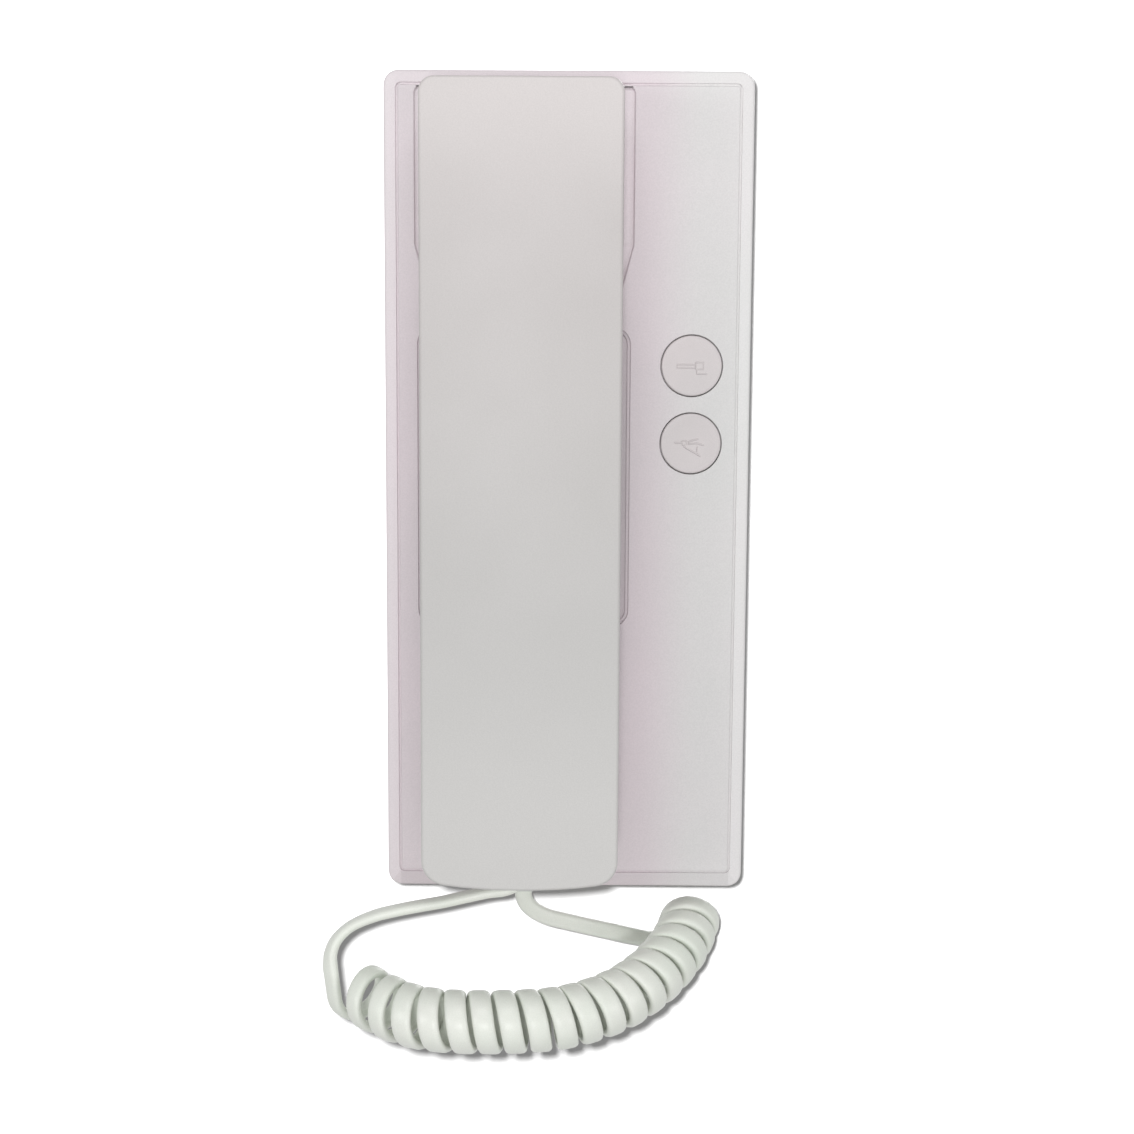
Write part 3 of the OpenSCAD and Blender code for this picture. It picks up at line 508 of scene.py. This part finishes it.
def tint_zones(material, zones, tints):
    """Multiplies a plastic's colour by one tint for each mask that a zone group puts out."""
    tree = material.node_tree
    base_colour = tree.nodes["Principled BSDF"].inputs["Base Color"]
    masks = tree.nodes.new("ShaderNodeGroup")
    masks.node_tree = zones
    colour = base_colour.links[0].from_socket
    for mask, tint in tints.items():
        mix = step_node(tree, "Mix", {0: masks.outputs[mask], 6: colour}, data_type="RGBA",
                        blend_type="MULTIPLY", clamp_result=False, _7=(*tint, 1))
        colour = mix.outputs[2]
    tree.links.new(colour, base_colour)


base_plastic = plastic("base_plastic", (0.715, 0.694, 0.697), (0.688, 0.688, 0.680), 0.42, drift=55.0)
# The cover's colour carries painted shade beside the cradle, a painted highlight on the band and painted
# light on the steps
tint_zones(base_plastic, make_cover_zones(),
           {"Cradle": (0.965, 0.885, 0.93), "Band highlight": (1.13, 1.13, 1.13), "Steps": (1.14, 1.14, 1.14)})
front_cover = make_front_cover().piece("front_cover_shell", base_plastic)
cut(front_cover,
    drill(box_outline(cradle_x - 5, cradle_x + 5, 8, 16, 0.6), -109, -104.4, "height"),
    drill(circle_outline(30, 9, 3.1), -109, -104.9, "height"))
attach(front_cover, "base")
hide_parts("front_cover")
dress(base_plastic, "hook_lever")

# ---- Push buttons -----------------------------------------------------------------------------------------
# Two round caps of white ABS on sprung plungers, flush in the cover with a fine gap round them. Each face is
# slightly dished and carries a pictogram in low relief: a key for the door and a lamp for the light.

cap_r, cap_edge, cap_d, dish_r, dish_drop = 7.84, 0.32, 24.1, 7.0, 0.12


def stroke(skin, path, width, height, face):
    """A raised line with rounded ends on a face, along a path of (across, height) points."""
    path = np.array(path, float)
    n = len(path)
    centre = []
    for i in range(n):
        along = path[min(i + 1, n - 1)] - path[max(i - 1, 0)]
        along /= np.linalg.norm(along)
        side = np.array([-along[1], along[0]])
        rings = [(path[i], width / 2)]
        tip = [(0.3, 0.38), (0.45, 0.16)]
        if i == 0:
            rings = [(path[i] - along * width * far, width * half) for far, half in reversed(tip)] + rings
        if i == n - 1:
            rings += [(path[i] + along * width * far, width * half) for far, half in tip]
        for at, half in rings:
            ring = []
            for j in range(7):
                a = math.pi * j / 6
                p = at + side * half * math.cos(a)
                ring.append((p[0], face(*p) + height * math.sin(a) * min(1, half / (width * 0.45)), p[1]))
            for s in (-1, 1):
                p = at + side * half * s
                ring.append((p[0], face(*p) - 0.35, p[1]))
            first = len(skin.points)
            skin.points += ring
            centre.append(list(range(first, first + len(ring))))
    for a, b in zip(centre, centre[1:]):
        skin.band(a, b)
    skin.faces += [tuple(centre[0]), tuple(reversed(centre[-1]))]


def button_face(z0):
    """Depth of the dished face of the button whose middle is at height z0."""
    return lambda x, z: cap_d - dish_drop * max(0.0, 1 - ((x - button_x) ** 2 + (z - z0) ** 2) / dish_r ** 2)


def make_button(z0, strokes):
    skin = Moulding()
    face = button_face(z0)
    # The stem, the flange that the collar holds, the side of the cap and its rounded edge
    profile = [(2.5, 14.4), (2.5, 20.4), (9.3, 20.4), (9.3, 21.7), (cap_r, 21.7), (cap_r, cap_d - cap_edge)]
    profile += [(cap_r - cap_edge * (1 - math.cos(a)), cap_d - cap_edge * (1 - math.sin(a)))
                for a in (0.4, 0.8, 1.2, math.pi / 2)]
    profile += [(r, face(button_x + r, z0)) for r in (7.2, 6.2, 5.2, 4.0, 2.6, 1.2)]
    low, top = skin.run([(circle_outline(button_x, z0, r, 64), d) for r, d in profile])
    skin.sheet(low)
    skin.sheet(top)
    for path, width in strokes:
        stroke(skin, [(button_x + x, z0 + z) for x, z in path], width, 0.2, face)
    return skin


key_lines = [([(1.2, 0.35), (-3.75, 0.35), (-3.75, -0.5), (1.2, -0.5)], 0.4),
             ([(1.2, 0.9), (3.1, 0.9), (3.1, -0.9), (1.2, -0.9), (1.2, 0.9)], 0.45),
             ([(1.5, -0.9), (1.4, -2.1), (3.9, -2.1)], 0.45)]
lamp_lines = [([(-4.0, 0.2), (-2.2, 0.2)], 0.45),
              ([(-2.1, 0.7), (-1.0, 0.7), (-1.0, -0.4), (-2.1, -0.4), (-2.1, 0.7)], 0.4),
              ([(-0.5, 0.4), (0.6, 0.9), (1.9, 1.2)], 0.45), ([(-0.5, -0.1), (1.6, 0.1), (3.4, -0.4)], 0.45),
              ([(-1.6, -0.9), (0.4, -2.0), (2.5, -3.2)], 0.5), ([(1.8, -1.0), (1.7, -2.0)], 0.4)]
button_plastic = plastic("button_plastic", (0.660, 0.605, 0.612), (0.625, 0.590, 0.592), 0.36, grain=0.22)
for name, z0, lines in zip(("door_button", "light_button"), button_heights, (key_lines, lamp_lines)):
    button = make_button(z0, lines).piece(name + "_cap", button_plastic, 50)
    even_shading(button)
    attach(button, name)
    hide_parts(name)

# ---- Handset ----------------------------------------------------------------------------------------------
# Two shells of the same ABS, screwed together from the back at the grip. The front shell is a plain slab
# with small radii and a bowed foot, and the back shell carries the ear cup and the mouth cup.

grip_back, seam, hand_front, front_edge = 36.0, 46.0, 57.0, 0.8
hand_half, hand_top, foot_low, foot_bow = 24.9, 103.8, -98.7, 2.0
cup_face, cup_edge, cup_bend, receiver_z, screw_heights = 17.0, 2.4, 25.0, 74.0, (27, -38)


def foot_height(x):
    return foot_low + foot_bow * (x / hand_half) ** 2


def handset_outline(inset, grip_inset=None):
    """The slab from the front. grip_inset is the inset along the grip, where it differs."""
    top, low = hand_top - inset, foot_height(hand_half) + inset
    sides, ends = [40, 30, 20, 0, -20, -34, -44], (40, -44)
    half = [hand_half - (inset if grip_inset is None or z in ends else grip_inset) for z in sides]
    bow = range(-15, 16, 3)
    points = [(hand_half - inset, top), (-hand_half + inset, top)] + [(-h, z) for h, z in zip(half, sides)]
    points += [(-hand_half + inset, low)] + [(x, foot_height(x) + inset) for x in bow]
    points += [(hand_half - inset, low)] + [(h, z) for h, z in zip(reversed(half), reversed(sides))]
    radii = [3.8 - inset, 3.8 - inset] + [0] * 7 + [6.4 - inset] + [0] * len(bow) + [6.4 - inset] + [0] * 7
    return [(cradle_x + x, z) for x, z in rounded(points, radii, 10)]


def seam_rings(side):
    """The softened groove at the seam of the two shells, in front of it or behind it."""
    return [(handset_outline(inset), seam + side * rise)
            for inset, rise in ((0.28, 0), (0.22, 0.16), (0.03, 0.34), (0, 0.5))]


def make_front_shell():
    skin = Moulding()
    angles = [math.radians(d) for d in (0, 12, 24, 36, 48, 60, 72, 82, 90)]
    edge = [(handset_outline(front_edge * (1 - math.cos(a))), hand_front - front_edge * (1 - math.sin(a)))
            for a in angles]
    rim, front = skin.run(seam_rings(1) + [(handset_outline(0), 52)] + edge)
    skin.sheet(front)
    inner_rim, ceiling = skin.run([(handset_outline(wall), seam), (handset_outline(wall), hand_front - 3),
                                   (handset_outline(wall + 0.8), hand_front - wall)])
    skin.band(rim, inner_rim)
    skin.sheet(ceiling)
    return skin


def ear_cup(depth, inset):
    """Outline of the ear cup at a depth: its foot slants back into the grip."""
    top = 99.5 - 4 * (44 - depth) / 27 - inset
    low = 50.3 + inset - max(0, depth - cup_bend) * 12.3 / 11
    right = [(24 - inset, top), (24 - inset, shoulder_z), (21.9 - inset, 53.4 + inset * 0.3),
             (21.1 - inset, low)]
    points = [(cradle_x + x, z) for x, z in right] + [(cradle_x - x, z) for x, z in reversed(right)]
    radii = [5 - inset, 6, 1.2, 1.6, 1.6, 1.2, 6, 5 - inset]
    return rounded(points, radii, 6)


def mouth_cup(depth, inset):
    """Outline of the mouth cup at a depth: its top slants into the grip and its foot is rounded off."""
    top = -52.5 - inset + max(0, depth - cup_bend) * 12.5 / 11
    low = (-84 - (depth - cup_face) * 11.5 / 12 if depth < 29 else -95.5 - (depth - 29) / 15) + inset
    return box_outline(cradle_x - 20 + inset, cradle_x + 20 - inset, low, top, 5 - min(inset, 2), 6)


def softened(hole, grow=0.12):
    """The outline of a hole moved outwards from its middle."""
    middle = np.mean(hole, axis=0)
    return [tuple(middle + (np.array(p) - middle) * (1 + grow / np.linalg.norm(np.array(p) - middle)))
            for p in hole]


def make_back_shell():
    skin = Moulding()
    # The side wall of the slab and the softened edge round the back of the grip
    edge = [(handset_outline(0.45 * (1 - math.cos(a)), 1.6 * (1 - math.cos(a))),
             lambda x, z, a=a: grip_back + (1.6 if -40 < z < 36 else 0.45) * (1 - math.sin(a)))
            for a in (math.radians(d) for d in (0, 18, 36, 54, 72, 90))]
    rim, back = skin.run(seam_rings(-1) + [(handset_outline(0), 39)] + edge)
    inner_rim, tray = skin.run([(handset_outline(wall), seam), (handset_outline(wall), grip_back + wall)])
    skin.band(rim, inner_rim)
    # The two cups, with a small fillet at their root and rounded edges round their faces
    ear_holes = [circle_outline(cradle_x, receiver_z, 1.2, 20)]
    ear_holes += [circle_outline(x, z, 1.2, 20) for x, z in circle_outline(cradle_x, receiver_z, 7, 6)]
    mouth_slots = [box_outline(cradle_x - 5, cradle_x + 5, z - 0.7, z + 0.7, 0.6, 4) for z in (-74, -70, -66)]
    out_roots, in_roots = [], []
    for cup, sound_holes in ((ear_cup, ear_holes), (mouth_cup, mouth_slots)):
        rings = [(cup(grip_back, -0.3), grip_back), (cup(35.9, -0.1), 35.88), (cup(35.7, 0), 35.6)]
        rings += [(cup(d, 0), d) for d in (33, 30, 27.5, 25, 23, 21, cup_face + cup_edge)]
        for a in (math.radians(d) for d in (15, 30, 45, 60, 75, 90)):
            depth = cup_face + cup_edge * (1 - math.sin(a))
            rings.append((cup(depth, cup_edge * (1 - math.cos(a))), depth))
        root, face = skin.run(rings)
        in_root, in_face = skin.run([(cup(d, wall), d) for d in (38, 35, 32, 29, 27, 25, 22, 19)])
        out_roots.append(root)
        in_roots.append(in_root)
        bores = [skin.run([(softened(hole), cup_face), (hole, cup_face + 0.12), (hole, cup_face + wall)])
                 for hole in sound_holes]
        lips, lows = zip(*bores)
        if cup is ear_cup:
            # A shallow ring groove round the sound holes
            groove = ((15, 0), (14.9, 0.15), (14.3, 0.15), (14.2, 0))
            ring_out, ring_in = skin.run([(circle_outline(cradle_x, receiver_z, r), cup_face + drop)
                                          for r, drop in groove])
            skin.sheet(face, [ring_out])
            skin.sheet(ring_in, lips)
        else:
            skin.sheet(face, lips)
        skin.sheet(in_face, lows)
    skin.sheet(back, out_roots)
    skin.sheet(tray, in_roots)
    return skin


def make_height_zones():
    """Masks of the handset: its faintly tinted top, and painted shade over its middle."""
    group, _, made = shader_group("height_zones", [], [("Top", 0.0), ("Middle shade", 0.0)])
    place = step_node(group, "TexCoord")
    axes = step_node(group, "SeparateXYZ", {0: place.outputs["Object"]})
    mask = step_node(group, "MapRange", {0: axes.outputs[2]}, interpolation_type="SMOOTHSTEP",
                     _1=-0.06, _2=0.1, _3=0.0, _4=1.0)
    # Painted shade darkens the handset's middle, between its foot and its top
    above = step_node(group, "MapRange", {0: axes.outputs[2]}, interpolation_type="SMOOTHSTEP",
                      _1=-0.09, _2=-0.025, _3=0.0, _4=1.0)
    below = step_node(group, "MapRange", {0: axes.outputs[2]}, interpolation_type="SMOOTHSTEP",
                      _1=0.105, _2=0.065, _3=0.0, _4=1.0)
    middle_shade = step_node(group, "Math", {0: above.outputs[0], 1: below.outputs[0]}, operation="MULTIPLY")
    group.links.new(mask.outputs[0], made.inputs["Top"])
    group.links.new(middle_shade.outputs[0], made.inputs["Middle shade"])
    return group


handset_plastic = plastic("handset_plastic", (0.591, 0.583, 0.572), (0.573, 0.565, 0.552), 0.4, drift=60.0)
# The handset's colour carries painted shade over its middle
tint_zones(handset_plastic, make_height_zones(), {"Top": (0.99, 0.945, 0.955), "Middle shade": (0.856, 0.856, 0.856)})
front_shell = make_front_shell().piece("handset_front_slab", handset_plastic)
even_shading(front_shell)
back_shell = make_back_shell().piece("handset_back_cups", handset_plastic)
screw_wells = [drill(circle_outline(cradle_x, z, r), 34, end)
               for z in screw_heights for r, end in ((3.2, grip_back + 1.3), (1.6, 39))]
socket_mouth = drill(box_outline(cradle_x - 4.4, cradle_x + 4.4, 29.7, 37.3, 0.5), -101, -91, "height")
cut(back_shell, *screw_wells, socket_mouth)
for shell, node in ((front_shell, "handset_front_shell"), (back_shell, "handset_back_shell")):
    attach(shell, "handset")
    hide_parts(node)
wire_insulation = plastic("wire_insulation", (0.42, 0.03, 0.02), (0.36, 0.03, 0.02), 0.35, drift=4.0)
dress(wire_insulation, "handset_wires")

# ---- Cord -------------------------------------------------------------------------------------------------
# A flat four-core cord in white PVC with a soft ridge on its faces. Its middle is wound into a coil that
# hangs in an arc under the phone, and a clear plug at each end clicks into its socket.

cord_w, cord_t, coil_od, coil_turns = 4.6, 2.6, 16.4, 18.25
handset_route = [
    ((-11.3, -33.5, -100.6), (1, 0, 0)), ((-11.3, -33.5, -102.2), (1, 0, 0)),
    ((-12.4, -33.7, -104.3), (0.8, 0.8, 0.1)), ((-15.8, -34.1, -105.4), (0.3, 1, 0.1)),
    ((-20, -34.5, -105.8), (0, 1, 0.1)), ((-26, -35, -107), (0, 1, 0.1)),
    ((-32, -35.4, -108.3), (0, 1, 0.1)), ((-38, -35.8, -109.3), (0, 1, 0.1)),
    ((-44, -36.3, -110.4), (0, 1, 0.1)), ((-50, -36.9, -111.8), (0, 1, 0.1)),
    ((-56, -37.4, -114.4), (-0.1, 1, 0)), ((-59.8, -38.1, -117.8), (-0.3, 1, 0)),
    ((-61.4, -39, -121.4), (-0.5, 0.9, 0.1)), ((-61.4, -40.2, -124.6), (-0.7, 0.7, 0.1))]
base_route = [
    ((-11.3, -12, -112), (1, 0, 0)), ((-11.3, -12, -113.6), (1, 0, 0)),
    ((-10.4, -12, -115.9), (0.9, 0, 0.4)), ((-8, -12, -118), (0.7, 0, 0.7)),
    ((-4.4, -11.9, -119.7), (0.45, 0, 0.9)), ((0.4, -11.6, -121), (0.3, 0, 1)),
    ((6, -11.2, -122.4), (0.2, 0, 1)), ((12, -10.6, -123.9), (0.2, 0.2, 1)),
    ((18, -9.8, -125.5), (0.2, 0.6, 1)), ((24.2, -7.4, -127.2), (0.2, 1, 0.6))]
coil_axis = [
    (-56.4, -36, -131.8), (-47.9, -43.4, -133.5), (-39.6, -48.7, -134.8), (-30.2, -51.7, -135.1),
    (-20.4, -52.3, -135.1), (-10.6, -51.8, -135), (-1.1, -50, -134.7), (7.6, -46.9, -133.5),
    (15.5, -42.2, -131.7), (22.3, -35.9, -129.2), (27.9, -28.4, -126.3), (32.2, -19.9, -123.1),
    (34.8, -10.8, -119.9)]


def smooth_curve(points, u):
    """The point at u spans along the smooth curve through the given points."""
    points = np.array(points, float)
    points = np.vstack([2 * points[0] - points[1], points, 2 * points[-1] - points[-2]])
    i = min(int(u), len(points) - 4)
    t, (a, b, c, d) = u - i, points[i:i + 4]
    return 0.5 * (2 * b + (c - a) * t + (2 * a - 5 * b + 4 * c - d) * t * t
                  + (3 * b - a - 3 * c + d) * t ** 3)


def one_long(v):
    return v / np.linalg.norm(v)


def coil_path(per_turn):
    """Centres of the coil's strand, and the direction along which its flat side lies."""
    spans, count = len(coil_axis) - 1, int(round(coil_turns * per_turn))
    dip, dip_turns, spread, spread_share, near = 0.1, 0.15, 0.012, 0.06, 0.05
    path = []
    for k in range(count + 1):
        # The first turns stand further apart, and the strand comes in from the lead a little inside them
        t, turn = k / count, k / per_turn
        radius = (coil_od - cord_t) / 2 * (1 - dip * math.exp(-(turn / dip_turns) ** 2))
        u = (t + spread * (1 - math.exp(-t / spread_share)) * (1 - t)) * spans
        ahead, behind = (smooth_curve(coil_axis, at) for at in (min(u + near, spans), max(u - near, 0)))
        along = one_long(ahead - behind)
        up = one_long(np.array([0, 0, 1]) - along[2] * along)
        side, a = np.cross(along, up), 2 * math.pi * turn
        path.append((smooth_curve(coil_axis, u) + radius * (math.cos(a) * side - math.sin(a) * up), along))
    return path


def cord_section():
    """The flat oval: nearly flat faces with a slight crown, and round sides."""
    quarter = [(cord_w / 2, 0), (2.22, 0.5), (1.98, 0.9), (1.6, 1.15), (1.0, 1.27), (0, cord_t / 2)]
    half = quarter + [(-x, y) for x, y in quarter[-2::-1]]
    return half + [(x, -y) for x, y in half[-2:0:-1]]


def sweep_cord(name, path, widths, first_i, last_i, material):
    """One piece of the strand, between two of its (centre, flat direction) pairs and closed at both ends."""
    skin = Moulding()
    rings, section, last = [], cord_section(), len(path) - 1
    for i in range(first_i, last_i + 1):
        at, flat = path[i]
        along = one_long(path[min(i + 1, last)][0] - path[max(i - 1, 0)][0])
        across = one_long(flat - (flat @ along) * along)
        out = np.cross(along, across)
        start = len(skin.points)
        for x, y in section:
            p = at + x * widths[i] * across + y * out
            skin.points.append((p[0], -p[1], p[2]))
        rings.append(list(range(start, start + len(section))))
    for a, b in zip(rings, rings[1:]):
        skin.band(a, b)
    skin.faces += [tuple(rings[0]), tuple(reversed(rings[-1]))]
    return skin.piece(name, material, 60)


cord_plastic = plastic("cord_plastic", (0.828, 0.845, 0.786), (0.770, 0.815, 0.736), 0.34, grain=0.25,
                       drift=26.0, unevenness=0.08)
fine_coil = coil_path(24)
head = one_long(fine_coil[1][0] - fine_coil[0][0])
tail = one_long(fine_coil[-1][0] - fine_coil[-2][0])
coil = [(fine_coil[0][0] - cord_w * f * head, fine_coil[0][1]) for f in (1, 0.6, 0.25)]
coil += fine_coil + [(fine_coil[-1][0] + cord_w * f * tail, fine_coil[-1][1]) for f in (0.25, 0.6, 1)]


def fine_route(route, per_span=6):
    """A lead's route with more points between the given ones. Its last point only gives the way on."""
    centres, flats = [at for at, flat in route], [flat for at, flat in route]
    spans = [k / per_span for k in range((len(route) - 2) * per_span + 1)]
    return [(smooth_curve(centres, u), smooth_curve(flats, u)) for u in spans]


handset_path = fine_route(handset_route + [(coil[i][0], -coil[i][1]) for i in (0, 3)])
base_path = fine_route(base_route + [coil[-1], coil[-4]])
# The three pieces are stretches of one strand, so that it runs through their joints without a step. The wound
# part of the strand is pressed wider.
strand = [(at, -flat) for at, flat in handset_path] + coil[1:] + base_path[-2::-1]
starts, ends = len(handset_path) - 1, len(handset_path) - 2 + len(coil)
turned = (np.arange(len(strand)) - starts) / (ends - starts)
pressed = 0.22
widths = 1 + pressed * np.clip((turned - 0.06) / 0.12, 0, 1) * np.clip((1.0 - turned) / 0.04, 0, 1)
handset_piece = sweep_cord("handset_cord", strand, widths, 0, starts, cord_plastic)
coil_piece = sweep_cord("coiled_cord", strand, widths, starts, ends, cord_plastic)
base_piece = sweep_cord("base_cord", strand, widths, ends, len(strand) - 1, cord_plastic)
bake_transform(coil_piece)
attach(handset_piece, "handset")
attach(base_piece, "base")
for piece, node in ((coil_piece, "cord_coil"), (handset_piece, "handset_lead"), (base_piece, "base_lead")):
    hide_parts(node)
plug_plastic = plastic("plug_plastic", (0.66, 0.68, 0.66), (0.62, 0.65, 0.62), 0.2, relief=0.000004)
dress(plug_plastic, "handset_plug", "base_plug")

# ---- Wall, floor, light and camera -------------------------------------------------------------------------
# A plain pale wall and floor that only the camera sees. Soft lamps stand in front, at both sides, above,
# below and behind, and even light comes from all round. A small lamp beside the camera throws the shadow.


def plane(name, corners, material):
    mesh = bpy.data.meshes.new(name)
    mesh.from_pydata(corners, [], [(0, 1, 2, 3)])
    obj = bpy.data.objects.new(name, mesh)
    bpy.context.scene.collection.objects.link(obj)
    mesh.materials.append(material)


def stage_paint():
    """Pale paint that the camera sees from the front only. Other rays pass, so it darkens nothing."""
    material = bpy.data.materials.new("stage_paint")
    material.use_nodes = True
    tree = material.node_tree
    tree.nodes.clear()
    paint = step_node(tree, "BsdfDiffuse")
    paint.inputs["Color"].default_value = (0.55, 0.55, 0.55, 1)
    glow = step_node(tree, "Emission")
    glow.inputs["Strength"].default_value = 0.02
    both = step_node(tree, "AddShader", {0: paint.outputs[0], 1: glow.outputs[0]})
    clear = step_node(tree, "BsdfTransparent")
    rays, side = step_node(tree, "LightPath"), step_node(tree, "NewGeometry")
    front = step_node(tree, "Math", {1: side.outputs["Backfacing"]}, operation="SUBTRACT", _0=1.0)
    seen = step_node(tree, "Math", {0: rays.outputs["Is Camera Ray"], 1: front.outputs[0]},
                     operation="MULTIPLY")
    choose = step_node(tree, "MixShader", {0: seen.outputs[0], 1: clear.outputs[0], 2: both.outputs[0]})
    step_node(tree, "OutputMaterial", {0: choose.outputs[0]})
    return material


pale = stage_paint()
far, wall_y, floor_z = 1.5, 0.0003, -0.3
foot_left, foot_right = (-far, wall_y, floor_z), (far, wall_y, floor_z)
plane("wall", [foot_left, foot_right, (far, wall_y, far), (-far, wall_y, far)], pale)
plane("floor", [(-far, -far, floor_z), (far, -far, floor_z), foot_right, foot_left], pale)


def soft_lamp(name, place, aim, size, power, only=()):
    """A round soft lamp. It lights only the named stage pieces, or else everything but the stage."""
    light = bpy.data.lights.new(name, "AREA")
    light.shape, light.size, light.energy = "DISK", size, power
    obj = bpy.data.objects.new(name, light)
    obj.location = place
    obj.rotation_euler = (Vector(aim) - Vector(place)).to_track_quat("-Z", "Y").to_euler()
    bpy.context.scene.collection.objects.link(obj)
    lit = bpy.data.collections.new(name + "_lit")
    for piece in only or ("wall", "floor"):
        lit.objects.link(bpy.data.objects[piece])
    obj.light_linking.receiver_collection = lit
    if not only:
        for each in lit.collection_objects:
            each.light_linking.link_state = "EXCLUDE"


soft_lamp("front", (-0.02, -1.5, -0.02), (0, 0, 0), 0.14, 4.7)
soft_lamp("left", (-0.7, -0.7, 0.1), (0, 0, 0), 0.4, 2.05)
soft_lamp("right", (0.7, -0.6, 0.0), (0.02, 0, -0.1), 0.4, 1.5)
soft_lamp("top", (-0.01, -0.3, 0.27), (0, 0, 0.1), 0.15, 0.3)
soft_lamp("low", (0.05, -0.7, -0.5), (0, 0, -0.08), 0.4, 0.4)
soft_lamp("back", (0.4, 1.2, 0.4), (0, 0, 0), 0.6, 6.0)
soft_lamp("wall_wash", (-0.021, -0.6, 0.088), (0, 0, -0.02), 0.03, 9.5, only=["wall", "floor"])
soft_lamp("floor_wash", (0, -0.9, 1.2), (0, -0.7, -0.3), 1.0, 27.0, only=["floor"])
world = bpy.data.worlds.new("studio")
bpy.context.scene.world = world
world.use_nodes = True
air = world.node_tree
air.nodes.clear()
rays = step_node(air, "LightPath").outputs
seen = step_node(air, "Math", {0: rays["Is Camera Ray"], 1: rays["Is Glossy Ray"]}, operation="MAXIMUM")
white = step_node(air, "Math", {0: seen.outputs[0], 1: rays["Is Transmission Ray"]}, operation="MAXIMUM")
level = step_node(air, "MapRange", {0: white.outputs[0]}, _1=0.0, _2=1.0, _3=0.385, _4=1.0)
sky = step_node(air, "Background", {1: level.outputs[0]})
sky.inputs["Color"].default_value = (1, 1, 1, 1)
step_node(air, "OutputWorld", {0: sky.outputs[0]})

eye = bpy.data.cameras.new("camera")
eye.sensor_width, eye.lens, eye.clip_start = 36.0, 69.86, 0.01
camera = bpy.data.objects.new("camera", eye)
yaw, pitch, roll = math.radians(0.273), math.radians(-8.689), math.radians(-0.331)
facing = Matrix.Rotation(yaw, 4, "Z") @ Matrix.Rotation(pitch, 4, "X") @ Matrix.Rotation(roll, 4, "Y")
upright = Matrix.Rotation(math.pi / 2, 4, "X")
camera.matrix_world = Matrix.Translation((0.00291, -0.5963, 0.06708)) @ facing @ upright
bpy.context.scene.collection.objects.link(camera)
bpy.context.scene.camera = camera
bpy.context.scene.view_settings.view_transform = "Standard"

bpy.context.view_layer.update()
